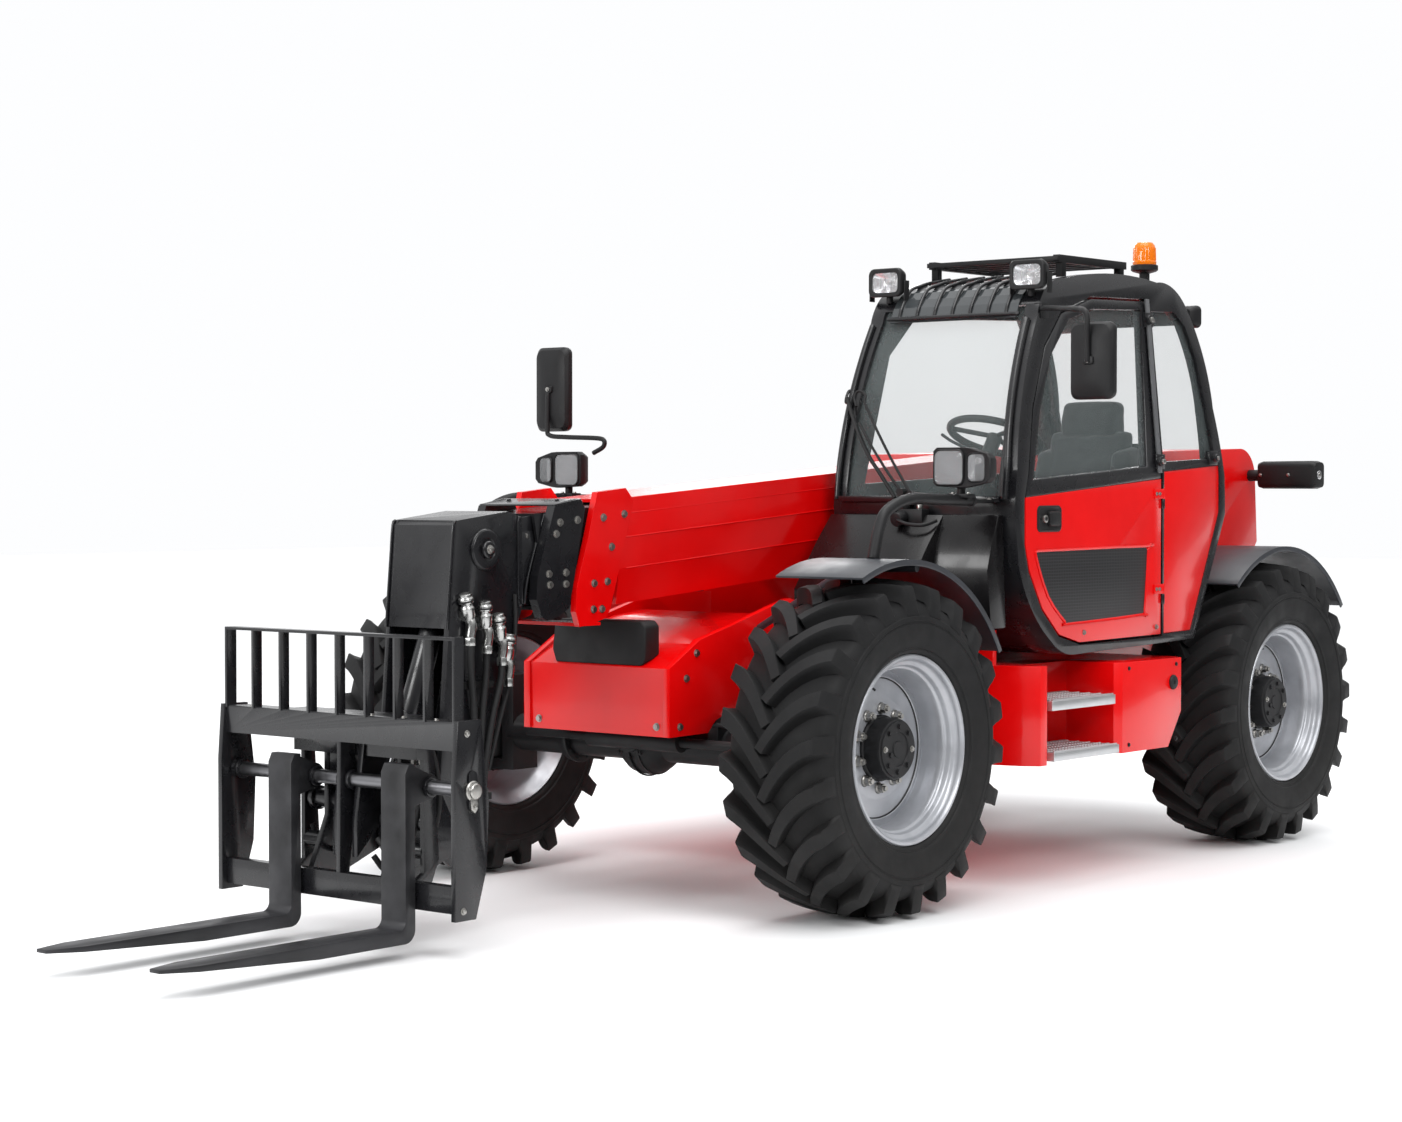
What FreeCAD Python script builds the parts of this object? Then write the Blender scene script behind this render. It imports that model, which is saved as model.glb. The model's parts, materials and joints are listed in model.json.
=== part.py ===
import FreeCAD, Part
import math
import os
from FreeCAD import Vector as V

# Rigid-frame telehandler: three-section boom on the centre line, cab on the left,
# engine on the right, four equal steered wheels, pallet forks on a floating carriage.
# +X forward, +Y to the machine's left, +Z up.  Origin on the ground, on the centre
# line, midway between the axles.  Millimetres.

# ---------------------------------------------------------------- driving dimensions
WHEELBASE = 2810
AXLE_X = WHEELBASE / 2
AXLE_Z = 610
KINGPIN_Y = 890

TYRE_R = 610
TYRE_SHOULDER_R = 583
TYRE_MID_Y = 980
TYRE_HALF_W = 228
TREAD_HALF_W = 193
RIM_FLANGE_R = 335
RIM_BARREL_R = 300
RIM_HALF_W = 200
HUB_R = 114
HUB_FACE_Y = 1127

FRAME_HALF_W = 365
FRAME_PLATE = 30
NOSE_X = 1774
TOWER_Y0 = 208
TOWER_Y1 = 236

BOOM_PIVOT_X = -1550
BOOM_PIVOT_Z = 1560
BOOM_DROOP = math.atan(0.0747)
BOOM_WALL = 12
BOOM_GAP = 9
BOOM_OUTER_END = 3400
BOOM_MID_END = 3800
COLLAR_RED_Y = 200
COLLAR_RED_T = 26
COLLAR_BLACK_Y = 190
COLLAR_BLACK_T = 38
PIVOT_PIN_R = 45

LIFT_BASE = (-1250, 860)
LIFT_EYE = (-100, 1120)
TILT_BASE = (2520, 1330)
TILT_EYE = (2820, 520)
CARRIAGE_PIVOT = (2640, 330)

HEAD_HALF_W = 155
HEAD_PLATE = 20

CARRIAGE_HALF_W = 565
END_PLATE = 20
FORK_SHAFT = (3016, 560)
FORK_SHAFT_R = 24
FORK_BORE_R = 25
FORK_MID_Y = (328, -228)
FORK_W = 116
FORK_TIP_X = 4112
FORK_TOP_Z = 98

CAB_LEFT = 1100
CAB_RIGHT = 240
CAB_WALL = 45
CAB_KNEE_Z = 1600
CAB_LEAN = 0.1
DOOR_GAP = 10
DOOR_HINGE_X = -480
DOOR_HINGE_R = 9
DOOR_HINGE_Z = (1110, 1500)

FENDER_R = 672
FENDER_T = 8
FRONT_FENDER_ARC = (66, 151)
REAR_FENDER_ARC = (37, 129)
FENDER_Y0 = 785
FENDER_Y1 = 1172

HOOD_HINGE_Y = -345
HOOD_HINGE_Z = 1372
HOOD_HINGE_R = 9
HOOD_HINGE_X = (-500, 500)
BAY_X0 = -700
BAY_X1 = 700

STEERING_WHEEL = (130, 685, 1750)
STEERING_WHEEL_R = 185

HEADLIGHT_X = 830
HEADLIGHT_Y = 1000

# Outlines on the cab's left side, as (x, z).
DOOR_OUTLINE = [(-470, 945), (150, 938), (300, 975), (420, 1080), (510, 1225), (540, 1330), (540, 1500),
                (449, 1850), (330, 2090), (190, 2228), (-40, 2298), (-470, 2310)]
DOOR_GLASS = [(486, 1576), (-368, 1632), (-424, 2272), (-40, 2255), (139, 2205), (290, 2060), (400, 1840)]
QUARTER_OUTLINE = [(-492, 945), (-492, 1612), (-950, 1640), (-950, 1440), (-715, 950)]
QUARTER_GLASS = [(-492, 2270), (-492, 1650), (-920, 1668), (-893, 1830), (-830, 2090), (-760, 2220),
                 (-680, 2275)]

# Pieces cut back to the neighbours that they stand against, in this order.
TRIMMED = (
    ("fenders", ("chassis_frame",)),
    ("front_axle", ("chassis_frame",)),
    ("boom_rest", ("chassis_frame",)),
    ("cab_cowl", ("chassis_frame", "fenders", "cab_frame")),
    ("rear_cowls", ("fenders", "cab_frame", "chassis_frame")),
    ("tail_lights", ("rear_cowls",)),
    ("headlights", ("fenders", "cab_frame", "cab_cowl", "chassis_frame", "engine_bay")),
    ("dashboard", ("cab_frame",)),
    ("seat", ("cab_frame",)),
)


# ---------------------------------------------------------------- shape helpers
def box(x0, x1, y0, y1, z0, z1):
    return Part.makeBox(x1 - x0, y1 - y0, z1 - z0, V(x0, y0, z0))


def rod(p0, p1, radius):
    start = V(*p0)
    along = V(*p1) - start
    return Part.makeCylinder(radius, along.Length, start, along)


def fuse(shapes):
    whole = shapes[0]
    if len(shapes) > 1:
        whole = shapes[0].multiFuse(shapes[1:])
    return whole.removeSplitter()


def cut(shape, tools):
    for tool in tools:
        shape = shape.cut(tool)
    return shape


def group(shapes):
    """Several separate solids of one node."""
    solids = []
    for shape in shapes:
        solids.extend(shape.Solids)
    return Part.makeCompound(solids)


def mirror_y(shape):
    return shape.mirror(V(0, 0, 0), V(0, 1, 0))


def mirror_x(shape):
    return shape.mirror(V(0, 0, 0), V(1, 0, 0))


def both_sides(shape):
    return [shape, mirror_y(shape)]


def side_point(x, z):
    return V(x, 0, z)


def side_face(start, steps):
    """A face in the XZ plane.  Each step is one point, or a middle and an end point
    of an arc."""
    here = side_point(*start)
    edges = []
    for step in steps:
        end = side_point(*step[-1])
        if len(step) == 2:
            edges.append(Part.Arc(here, side_point(*step[0]), end).toShape())
        else:
            edges.append(Part.LineSegment(here, end).toShape())
        here = end
    edges.append(Part.LineSegment(here, side_point(*start)).toShape())
    return Part.Face(Part.Wire(edges))


def side_polygon(points):
    return side_face(points[0], [(point,) for point in points[1:]])


def across(face, y0, y1):
    """Extrude a face of the XZ plane from y0 to y1."""
    moved = face.copy()
    moved.translate(V(0, y0, 0))
    return moved.extrude(V(0, y1 - y0, 0))


def side_plate(points, y0, y1):
    return across(side_polygon(points), y0, y1)


def along(points, x0, x1):
    """Extrude a polygon of (y, z) points from x0 to x1."""
    corners = [V(x0, y, z) for y, z in points]
    face = Part.Face(Part.makePolygon(corners + corners[:1]))
    return face.extrude(V(x1 - x0, 0, 0))


def plan_plate(points, z0, z1):
    """Extrude a polygon of (x, y) points from z0 to z1."""
    corners = [V(x, y, z0) for x, y in points]
    face = Part.Face(Part.makePolygon(corners + corners[:1]))
    return face.extrude(V(0, 0, z1 - z0))


def tube_path(points, radius):
    """A bent bar: straight runs with a ball at each bend."""
    pieces = [rod(a, b, radius) for a, b in zip(points, points[1:])]
    pieces += [Part.makeSphere(radius, V(*point)) for point in points[1:-1]]
    return fuse(pieces)


def cross_pin(x, z, y0, y1, radius):
    return rod((x, y0, z), (x, y1, z), radius)


def wheel_spin(points):
    """Revolve (radius, y) points about the left wheel's axle."""
    corners = [V(radius, y, 0) for radius, y in points]
    face = Part.Face(Part.makePolygon(corners + corners[:1]))
    return face.revolve(V(0, 0, 0), V(0, 1, 0), 360)


def place_wheel(shape, end, side):
    """Put a left wheel part, made about the axle, at one of the four corners."""
    placed = shape if side > 0 else mirror_y(shape)
    placed = placed.copy()
    placed.translate(V(end * AXLE_X, 0, AXLE_Z))
    return placed


def boom_place(shape):
    """From the boom's own axes (x along it from its pivot) to the machine's."""
    placed = shape.copy()
    placed.rotate(V(0, 0, 0), V(0, 1, 0), math.degrees(BOOM_DROOP))
    placed.translate(V(BOOM_PIVOT_X, 0, BOOM_PIVOT_Z))
    return placed


# ---------------------------------------------------------------- chassis
def chassis_frame():
    plate = side_plate(
        [(NOSE_X, 884), (1600, 983), (1410, 1030), (1185, 1090), (1060, 1120), (900, 1080),
         (760, 960), (640, 865), (-900, 865), (-1050, 1000), (-1420, 1060), (-1790, 1060),
         (-1790, 720), (-1000, 720), (-900, 480), (900, 480), (1000, 718), (1396, 718),
         (1508, 680), (1554, 635), (NOSE_X, 632)],
        FRAME_HALF_W - FRAME_PLATE, FRAME_HALF_W)
    right_rise = side_plate([(1061, 1120), (690, 1120), (690, 864), (1061, 864)],
                            -FRAME_HALF_W, -FRAME_HALF_W + FRAME_PLATE)
    tower = side_plate(
        [(-1330, 760), (-1330, 1250), (-1440, 1640), (-1480, 1690), (-1620, 1690), (-1660, 1640),
         (-1790, 1250), (-1790, 760)],
        TOWER_Y0, TOWER_Y1)
    tower = tower.cut(cross_pin(BOOM_PIVOT_X, BOOM_PIVOT_Z, TOWER_Y0 - 5, TOWER_Y1 + 5, PIVOT_PIN_R + 1))
    inside = FRAME_HALF_W - FRAME_PLATE
    nose = box(NOSE_X - 34, NOSE_X - 10, -inside, inside, 631, 882)
    deck = side_plate([(NOSE_X - 10, 868), (NOSE_X - 10, 882), (1600, 966), (1410, 1012), (1300, 1040),
                       (1120, 1060),
                       (1120, 1046), (1298, 1026), (1407, 998), (1597, 952)], -inside, inside)
    belly_front = box(620, 640, -inside, inside, 480, 865).cut(rod((600, -40, 575), (660, -40, 575), 60))
    belly_mid = box(-900, 640, -inside, inside, 480, 492)
    cross_rear = box(-1600, -1400, -inside, inside, 830, 1000)
    tail = box(-1790, -1760, -inside, inside, 720, 1060)
    ear = side_plate([(-1400, 840), (-1240, 795), (-1195, 860), (-1240, 925), (-1400, 980)], 66, 92)
    ear = ear.cut(cross_pin(LIFT_BASE[0], LIFT_BASE[1], 60, 100, 31))
    pieces = both_sides(plate) + both_sides(tower) + both_sides(ear)
    pieces += [right_rise, nose, deck, belly_front, belly_mid, cross_rear, tail]
    return fuse(pieces)


def boom_rest():
    """Rubber block across the nose, under the boom's collar."""
    pad = [(-233, 935), (-215, 885), (215, 885), (233, 915), (233, 1034), (212, 1054), (-185, 1052),
           (-222, 1030)]
    return along(pad, 1674, 1758)


def counterweight():
    block = side_plate([(-1792, 640), (-1792, 1200), (-1930, 1200), (-2050, 1080), (-2050, 760),
                        (-1980, 640)],
                       -400, 400)
    return block


def tow_hitch():
    lower = plan_plate([(-2051, -80), (-2051, 80), (-2120, 80), (-2160, 40), (-2160, -40), (-2120, -80)],
                       760, 785)
    upper = lower.copy()
    upper.translate(V(0, 0, 105))
    back = box(-2075, -2051, -80, 80, 760, 890)
    hitch = fuse([lower, upper, back])
    return hitch.cut(rod((-2120, 0, 740), (-2120, 0, 920), 16))


def axle(end):
    """Beam, differential housing, steering cylinder, mounting pads and kingpin yokes."""
    beam = rod((0, -740, 570), (0, 740, 570), 75)
    housing = Part.makeSphere(132, V(0, -40, 575))
    flange = rod((-165, -40, 575), (60, -40, 575), 95)
    cylinder = rod((140, -230, 590), (140, 230, 590), 38)
    brackets = [box(0, 150, y - 14, y + 14, 560, 620) for y in (-200, 200)]
    pistons = rod((140, -560, 590), (140, 560, 590), 18)
    pads = [box(-90, 90, y - 25, y + 25, 570, 718) for y in (-340, 340)]
    yokes = []
    for side in (1, -1):
        web = box(-70, 70, side * 740 - 30, side * 740 + 30, 420, 800)
        yokes.append(web)
        for z0 in (420, 760):
            yokes.append(box(-70, 70, min(side * 740, side * KINGPIN_Y), max(side * 740, side * KINGPIN_Y),
                             z0, z0 + 40))
            yokes.append(rod((0, side * KINGPIN_Y, z0), (0, side * KINGPIN_Y, z0 + 40), 70))
    whole = fuse([beam, housing, flange, cylinder, pistons] + brackets + pads + yokes)
    if end < 0:
        whole = mirror_x(whole)
    whole.translate(V(end * AXLE_X, 0, 0))
    return whole


def knuckle():
    """Steering knuckle of a left wheel, about its axle's centre."""
    post = rod((0, KINGPIN_Y, -145), (0, KINGPIN_Y, 145), 85)
    spindle = rod((0, KINGPIN_Y, 0), (0, 1000, 0), 95)
    return fuse([post, spindle])


def rim():
    """Wheel disc, barrel and the planetary hub that turns with it."""
    low = TYRE_MID_Y - RIM_HALF_W
    high = TYRE_MID_Y + RIM_HALF_W
    barrel = wheel_spin(
        [(RIM_FLANGE_R, low), (RIM_FLANGE_R, low + 12), (RIM_BARREL_R + 8, low + 22),
         (RIM_BARREL_R, low + 70),
         (RIM_BARREL_R, high - 70), (RIM_BARREL_R + 8, high - 22), (RIM_FLANGE_R, high - 12),
         (RIM_FLANGE_R, high), (RIM_BARREL_R - 2, high - 10), (RIM_BARREL_R - 14, high - 70),
         (RIM_BARREL_R - 14, low + 70), (RIM_BARREL_R - 2, low + 10)])
    disc = wheel_spin([(0, 1018), (RIM_BARREL_R - 5, 1050), (RIM_BARREL_R - 5, 1064), (150, 1034),
                       (0, 1034)])
    hub = rod((0, 1030, 0), (0, HUB_FACE_Y, 0), HUB_R)
    return fuse([barrel, disc, hub])


def tyre():
    """Section of a wide agricultural tyre, closed against the rim."""
    half = TYRE_HALF_W
    mid = TYRE_MID_Y
    section = [(RIM_FLANGE_R, mid - 175), (RIM_FLANGE_R + 14, mid - 205), (400, mid - 224),
               (450, mid - half),
               (510, mid - 224), (560, mid - TREAD_HALF_W - 12), (TYRE_SHOULDER_R, mid - TREAD_HALF_W),
               (600, mid - 120), (TYRE_R, mid - 40)]
    mirrored = [(radius, 2 * mid - y) for radius, y in reversed(section)]
    bead = [(RIM_BARREL_R + 9, mid + 170), (RIM_BARREL_R + 1, mid + 120), (RIM_BARREL_R + 1, mid - 120),
            (RIM_BARREL_R + 9, mid - 170)]
    return wheel_spin(section + mirrored + bead)


def drive_line():
    """Transfer box and the two shafts to the axles."""
    gearbox = box(-230, 180, -170, 170, 500, 790)
    front = rod((180, -40, 575), (AXLE_X - 165, -40, 575), 38)
    rear = rod((-230, -40, 575), (-AXLE_X + 165, -40, 575), 38)
    return fuse([gearbox, front, rear])


def engine_block():
    return box(-430, 380, -960, -480, 640, 1180)


def engine_bay():
    """Open tray on the right of the frame, with the bulkheads that carry the hood."""
    wall = 20
    floor = box(BAY_X0, BAY_X1, -1120, -FRAME_HALF_W, 500, 500 + wall)
    outer = along([(-1120, 500), (-1100, 500), (-1130, 800), (-1130, 1000), (-1150, 1000), (-1150, 790)],
                  BAY_X0, BAY_X1)
    end_shape = [(-FRAME_HALF_W, 500), (-1120, 500), (-1150, 790), (-1150, 1000), (-FRAME_HALF_W, 1000)]
    front = along(end_shape, BAY_X1 - wall, BAY_X1)
    rear = along(end_shape, BAY_X0, BAY_X0 + wall)
    inner = box(BAY_X0, BAY_X1, -FRAME_HALF_W - wall, -FRAME_HALF_W, 500, 1350)
    hinges = []
    for x in HOOD_HINGE_X:
        hinges.append(box(x - 60, x - 2, -FRAME_HALF_W, HOOD_HINGE_Y, 1300, HOOD_HINGE_Z))
        hinges.append(rod((x - 60, HOOD_HINGE_Y, HOOD_HINGE_Z), (x - 2, HOOD_HINGE_Y, HOOD_HINGE_Z),
                          HOOD_HINGE_R))
    return fuse([floor, outer, front, rear, inner] + hinges)


def engine_hood():
    """Lift-up hood: top, outer side and both ends in one shell, open towards the frame."""
    top = HOOD_HINGE_Z
    outer = [(HOOD_HINGE_Y, 1355), (HOOD_HINGE_Y, top), (-930, top - 20), (-1090, top - 120),
             (-1150, top - 240),
             (-1150, 1006), (HOOD_HINGE_Y - 45, 1006), (HOOD_HINGE_Y - 45, 1355)]
    inner = [(HOOD_HINGE_Y - 40, top - 37), (-920, top - 40), (-1075, top - 135), (-1130, top - 245),
             (-1130, 900), (HOOD_HINGE_Y - 40, 900)]
    shell = along(outer, BAY_X0, BAY_X1).cut(along(inner, BAY_X0 + 20, BAY_X1 - 20))
    for x in HOOD_HINGE_X:
        shell = shell.cut(box(x - 66, x, HOOD_HINGE_Y - 30, HOOD_HINGE_Y + 20, 1300, 1400))
        knuckle_rod = rod((x + 1, HOOD_HINGE_Y, HOOD_HINGE_Z), (x + 60, HOOD_HINGE_Y, HOOD_HINGE_Z),
                          HOOD_HINGE_R)
        shell = shell.fuse(knuckle_rod)
    return shell.removeSplitter()


def side_box():
    """Sheet-steel lower body under the cab, with the recess for the steps."""
    rear = plan_plate([(-550, 366), (-20, 366), (-20, 1150), (-50, 1172), (-510, 1172), (-550, 1120)],
                      490, 850)
    rear = rear.cut(side_plate([(-560, 480), (-400, 480), (-560, 700)], 360, 1180))
    front = plan_plate([(480, 366), (690, 366), (690, 700), (585, 1110), (545, 1172), (500, 1172),
                        (480, 1140)],
                       484, 865)
    upright = plan_plate([(590, 366), (690, 366), (690, 700), (615, 1000), (590, 1000)], 864, 1000)
    recess = box(-21, 481, 366, 930, 500, 850)
    return fuse([rear, front, upright, recess])


def steps():
    upper = box(2, 462, 931, 1172, 690, 728)
    lower = box(2, 476, 931, 1190, 497, 532)
    return group([upper, lower])


def fender(start, stop):
    """Mudguard on the left of the front axle: an arc of sheet with a rolled outer edge."""
    first = math.radians(start)
    last = math.radians(stop)
    middle = (first + last) / 2

    def at(radius, angle):
        return (AXLE_X + radius * math.cos(angle), AXLE_Z + radius * math.sin(angle))

    def ring(r0, r1, y0, y1):
        face = side_face(at(r1, first), [(at(r1, middle), at(r1, last)), (at(r0, last),),
                                         (at(r0, middle), at(r0, first))])
        return across(face, y0, y1)

    sheet = ring(FENDER_R, FENDER_R + FENDER_T, FENDER_Y0, FENDER_Y1)
    edge = ring(FENDER_R - 14, FENDER_R + FENDER_T, FENDER_Y1 - 6, FENDER_Y1)
    return fuse([sheet, edge])


def fenders():
    """Both pairs of mudguards. Each is carried by a stay that reaches out over its tyre."""
    front_x = AXLE_X - 150
    front_stay = [(front_x, FRAME_HALF_W - 2, 1010), (front_x, 790, 1248), (front_x, 1100, 1254)]
    front = fuse([fender(*FRONT_FENDER_ARC), tube_path(front_stay, 14)])
    rear_x = AXLE_X - 20
    rear_stay = [(rear_x, FRAME_HALF_W - 2, 1010), (rear_x, 790, 1266), (rear_x, 1100, 1270)]
    rear = fuse([fender(*REAR_FENDER_ARC), tube_path(rear_stay, 14)])
    return both_sides(front) + [mirror_x(shape) for shape in both_sides(rear)]


# ---------------------------------------------------------------- cab
def cab_outline():
    return side_face((-740, 915), [
        ((-997, 1430),), ((-985, 1660), (-940, 1880)), ((-890, 2110), (-790, 2290)),
        ((-700, 2370), (-560, 2392)), ((-200, 2408), (150, 2368)), ((290, 2325), (370, 2210)),
        ((540, 1850), (618, 1470)), ((590, 1250),), ((500, 1080), (360, 950)), ((280, 905), (180, 892))])


def inset(face, distance):
    return face.makeOffset2D(-distance, 2) if distance else face


def leaning_slab(inner, outer):
    """Space between two depths behind the cab's left skin, upright to the knee and
    leaning in above it."""
    bottom = 700
    top = 2600
    lean = (top - CAB_KNEE_Z) * CAB_LEAN
    return along([(CAB_LEFT - outer, bottom), (CAB_LEFT - outer, CAB_KNEE_Z),
                  (CAB_LEFT - outer - lean, top),
                  (CAB_LEFT - inner - lean, top), (CAB_LEFT - inner, CAB_KNEE_Z),
                  (CAB_LEFT - inner, bottom)],
                 -1300, 1000)


def cab_space(depth):
    """The cab's outline, this far inside its skin all round."""
    body = across(inset(cab_outline(), depth), CAB_RIGHT + depth, CAB_LEFT + 50)
    return body.common(cab_side_limit(depth))


def cab_side_limit(depth):
    lean = (2600 - CAB_KNEE_Z) * CAB_LEAN
    return along([(0, 700), (CAB_LEFT - depth, 700), (CAB_LEFT - depth, CAB_KNEE_Z),
                  (CAB_LEFT - depth - lean, 2600), (0, 2600)], -1300, 1000)


def grown(points, distance):
    return side_polygon(points).makeOffset2D(distance, 2)


def windscreen_zone():
    return box(215, 800, CAB_RIGHT + 60, 1020, 1500, 2255).common(cab_side_limit(62))


def roof_zone():
    return box(-330, 150, CAB_RIGHT + 90, 960, 2300, 2500)


def rear_zone():
    return box(-1100, -780, CAB_RIGHT + 70, 1010, 1660, 2230).common(cab_side_limit(62))


def right_zone():
    window = [(470, 1560), (-880, 1620), (-800, 2120), (-700, 2270), (120, 2240), (300, 2080)]
    return side_plate(window, CAB_RIGHT - 10, CAB_RIGHT + CAB_WALL + 20)


def glass_zones():
    return [windscreen_zone(), roof_zone(), rear_zone(), right_zone()]


def hinge_knuckle(z0, z1, radius):
    return rod((DOOR_HINGE_X, CAB_LEFT, z0), (DOOR_HINGE_X, CAB_LEFT, z1), radius)


def cab_frame():
    shell = cab_space(0).cut(cab_space(CAB_WALL))
    openings = [across(grown(DOOR_OUTLINE, DOOR_GAP), 980, 1200),
                across(side_polygon(QUARTER_OUTLINE), 980, 1200),
                across(side_polygon(QUARTER_GLASS), 980, 1200)]
    shell = cut(shell, glass_zones() + openings)
    for z in DOOR_HINGE_Z:
        shell = shell.cut(hinge_knuckle(z - 1, z + 42, DOOR_HINGE_R + 5))
        shell = shell.fuse(hinge_knuckle(z - 42, z - 2, DOOR_HINGE_R))
    return shell.removeSplitter()


def cab_glass():
    layer = cab_space(16).cut(cab_space(24))
    panes = [layer.common(zone) for zone in glass_zones()]
    quarter = across(side_polygon(QUARTER_GLASS), 980, 1200).common(leaning_slab(24, 16))
    return group(panes + [quarter])


def cab_quarter_panel():
    return across(side_polygon(QUARTER_OUTLINE), 980, 1200).common(leaning_slab(CAB_WALL, 4))


def door_leaf():
    leaf = across(side_polygon(DOOR_OUTLINE), 980, 1200)
    return leaf.common(leaning_slab(CAB_WALL, 2))


def door_lower_zone():
    return side_plate([(-600, 800), (700, 800), (700, 1495), (-600, 1590)], 900, 1300)


def door_panel():
    panel = door_leaf().common(door_lower_zone())
    for z in DOOR_HINGE_Z:
        strap = box(DOOR_HINGE_X, DOOR_HINGE_X + 70, CAB_LEFT - 3, CAB_LEFT + 5, z, z + 40)
        panel = fuse([panel, strap, hinge_knuckle(z, z + 40, DOOR_HINGE_R)])
    return panel


def door_frame():
    frame = door_leaf().cut(door_lower_zone())
    return frame.cut(across(side_polygon(DOOR_GLASS), 900, 1300))


def door_glass():
    return across(side_polygon(DOOR_GLASS), 980, 1200).common(leaning_slab(24, 16))


def cab_cowl():
    """Black fairing in front of the cab, between the boom and the front wheel."""
    body = side_plate([(602, 1010), (625, 1440), (660, 1440), (760, 1330), (900, 1150), (900, 1060),
                       (740, 1010)],
                      CAB_RIGHT + 20, 800)
    wing = side_plate([(602, 1010), (625, 1440), (655, 1440), (700, 1330), (728, 1230), (700, 1010)], 800,
                      1050)
    return fuse([body, wing])


def roof_guard():
    """Raised frame of bars over the roof glass."""
    rails = [box(-420, 90, y, y + 30, 2440, 2470) for y in (330, 930)]
    bars = [box(x, x + 22, 330, 960, 2446, 2464) for x in range(-410, 90, 82)]
    feet = [box(x, x + 30, y, y + 30, 2380, 2445) for x in (-400, 40) for y in (330, 930)]
    frame = fuse(rails + bars + feet)
    return frame.cut(cab_space(0))


def seat():
    base = box(-560, -140, 460, 880, 980, 1181)
    cushion = box(-600, -90, 430, 910, 1180, 1310)
    back = side_plate([(-660, 1240), (-510, 1240), (-600, 1740), (-690, 1740)], 440, 900)
    headrest = side_plate([(-690, 1739), (-600, 1739), (-615, 1905), (-695, 1905)], 530, 810)
    return fuse([box(-480, -220, 520, 820, 961, 981), base, cushion, back, headrest])


def dashboard():
    """Console, steering column and steering wheel in one piece."""
    console = side_plate([(250, 990), (520, 1130), (560, 1330), (560, 1400), (420, 1400), (380, 1240),
                          (230, 1050)],
                         420, 900)
    centre = V(*STEERING_WHEEL)
    column = rod((430, centre.y, 1330), STEERING_WHEEL, 30)
    lean = V(-0.38, 0, 0.92)
    ring = Part.makeTorus(STEERING_WHEEL_R, 15, centre, lean)
    spokes = []
    for turn in (90, 210, 330):
        spoke = rod(STEERING_WHEEL, (centre.x, centre.y + STEERING_WHEEL_R, centre.z), 10)
        spoke.rotate(centre, lean, turn)
        spokes.append(spoke)
    return fuse([console, column, ring] + spokes)


# ---------------------------------------------------------------- lights, mirrors, tail
def headlights():
    """Lamp with its indicator, on a bent bar from the mudguard; one each side."""
    bar = tube_path([(1400, HEADLIGHT_Y, 1290), (1316, HEADLIGHT_Y, 1446), (1161, HEADLIGHT_Y, 1503),
                     (790, HEADLIGHT_Y, 1498)], 20)
    stem = rod((HEADLIGHT_X, HEADLIGHT_Y, 1498), (HEADLIGHT_X, HEADLIGHT_Y, 1545), 14)
    lamp = box(780, 880, 890, 1062, 1543, 1697)
    indicator = box(790, 880, 1061, 1162, 1556, 1684)
    common = [bar, stem, lamp, indicator]
    left_bracket = box(600, 792, HEADLIGHT_Y - 15, HEADLIGHT_Y + 15, 1488, 1500)
    right_inner = tube_path([(790, -HEADLIGHT_Y, 1498), (770, -700, 1440), (770, -380, 1200)], 20)
    right_foot = side_plate([(700, 1050), (800, 1180), (800, 1240), (700, 1340)], -385, -365)
    left = fuse(common + [Part.makeSphere(20, V(790, HEADLIGHT_Y, 1498)), left_bracket])
    right = fuse([mirror_y(shape) for shape in common]
                 + [Part.makeSphere(20, V(790, -HEADLIGHT_Y, 1498)), right_inner, right_foot])
    return group([left, right])


def work_lights():
    lamps = []
    for y in (306, 985):
        lamps.append(box(300, 370, y - 85, y + 85, 2315, 2430))
    rear = [box(-960, -900, y - 60, y + 60, 2220, 2320) for y in (330, 950)]
    return group([lamp.cut(cab_space(0)) for lamp in lamps + rear])


def mirrors():
    left_head = box(575, 630, 1335, 1525, 1870, 2165)
    left_arm = tube_path([(320, 1020, 2240), (450, 1160, 2230), (600, 1370, 2207), (602, 1410, 2190),
                          (602, 1410, 2150)], 11)
    right_head = box(800, 855, -1185, -1000, 1780, 2142)
    right_arm = tube_path([(830, -850, 1695), (830, -800, 1740), (830, -1100, 1762), (830, -1110, 1800)],
                          11)
    return group([fuse([left_head, left_arm.cut(cab_space(0))]), fuse([right_head, right_arm])])


def beacon():
    base = rod((-900, 760, 2300), (-900, 760, 2470), 30)
    dome = rod((-900, 760, 2470), (-900, 760, 2600), 58)
    return fuse([base.cut(cab_space(0)), dome])


def rear_cowls():
    """Closed bodywork behind the cab and its twin on the right."""
    left = side_face((-1010, 1300), [((-1010, 1700),), ((-1700, 1720),), ((-1800, 1690), (-1850, 1590)),
                                     ((-1870, 1300),)])
    body = across(left, 262, 780)
    shelf = side_plate([(-1010, 1250), (-1010, 1301), (-1870, 1301), (-1830, 1250)], 236, 780)
    return group(both_sides(fuse([body, shelf])))


def tail_lights():
    lamp = box(-1850, -1750, 840, 1130, 1540, 1665)
    arm = box(-1815, -1785, 779, 842, 1570, 1630)
    return group(both_sides(fuse([lamp, arm])))


# ---------------------------------------------------------------- boom
def boom_section(shrink):
    """Six-sided box section of (y, height), this much smaller all round."""
    return [(160 - shrink, 197 - shrink), (175 - shrink, 54), (175 - shrink, -60),
            (150 - shrink, -191 + shrink),
            (-150 + shrink, -191 + shrink), (-175 + shrink, -60), (-175 + shrink, 54),
            (-160 + shrink, 197 - shrink)]


def boom_tube(shrink, x0, x1):
    return along(boom_section(shrink), x0, x1).cut(along(boom_section(shrink + BOOM_WALL), x0 - 1, x1 + 1))


def flat_collar(points, half_width, thick):
    """Pair of side plates, given in the machine's axes."""
    return both_sides(side_plate(points, half_width - thick, half_width))


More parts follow.
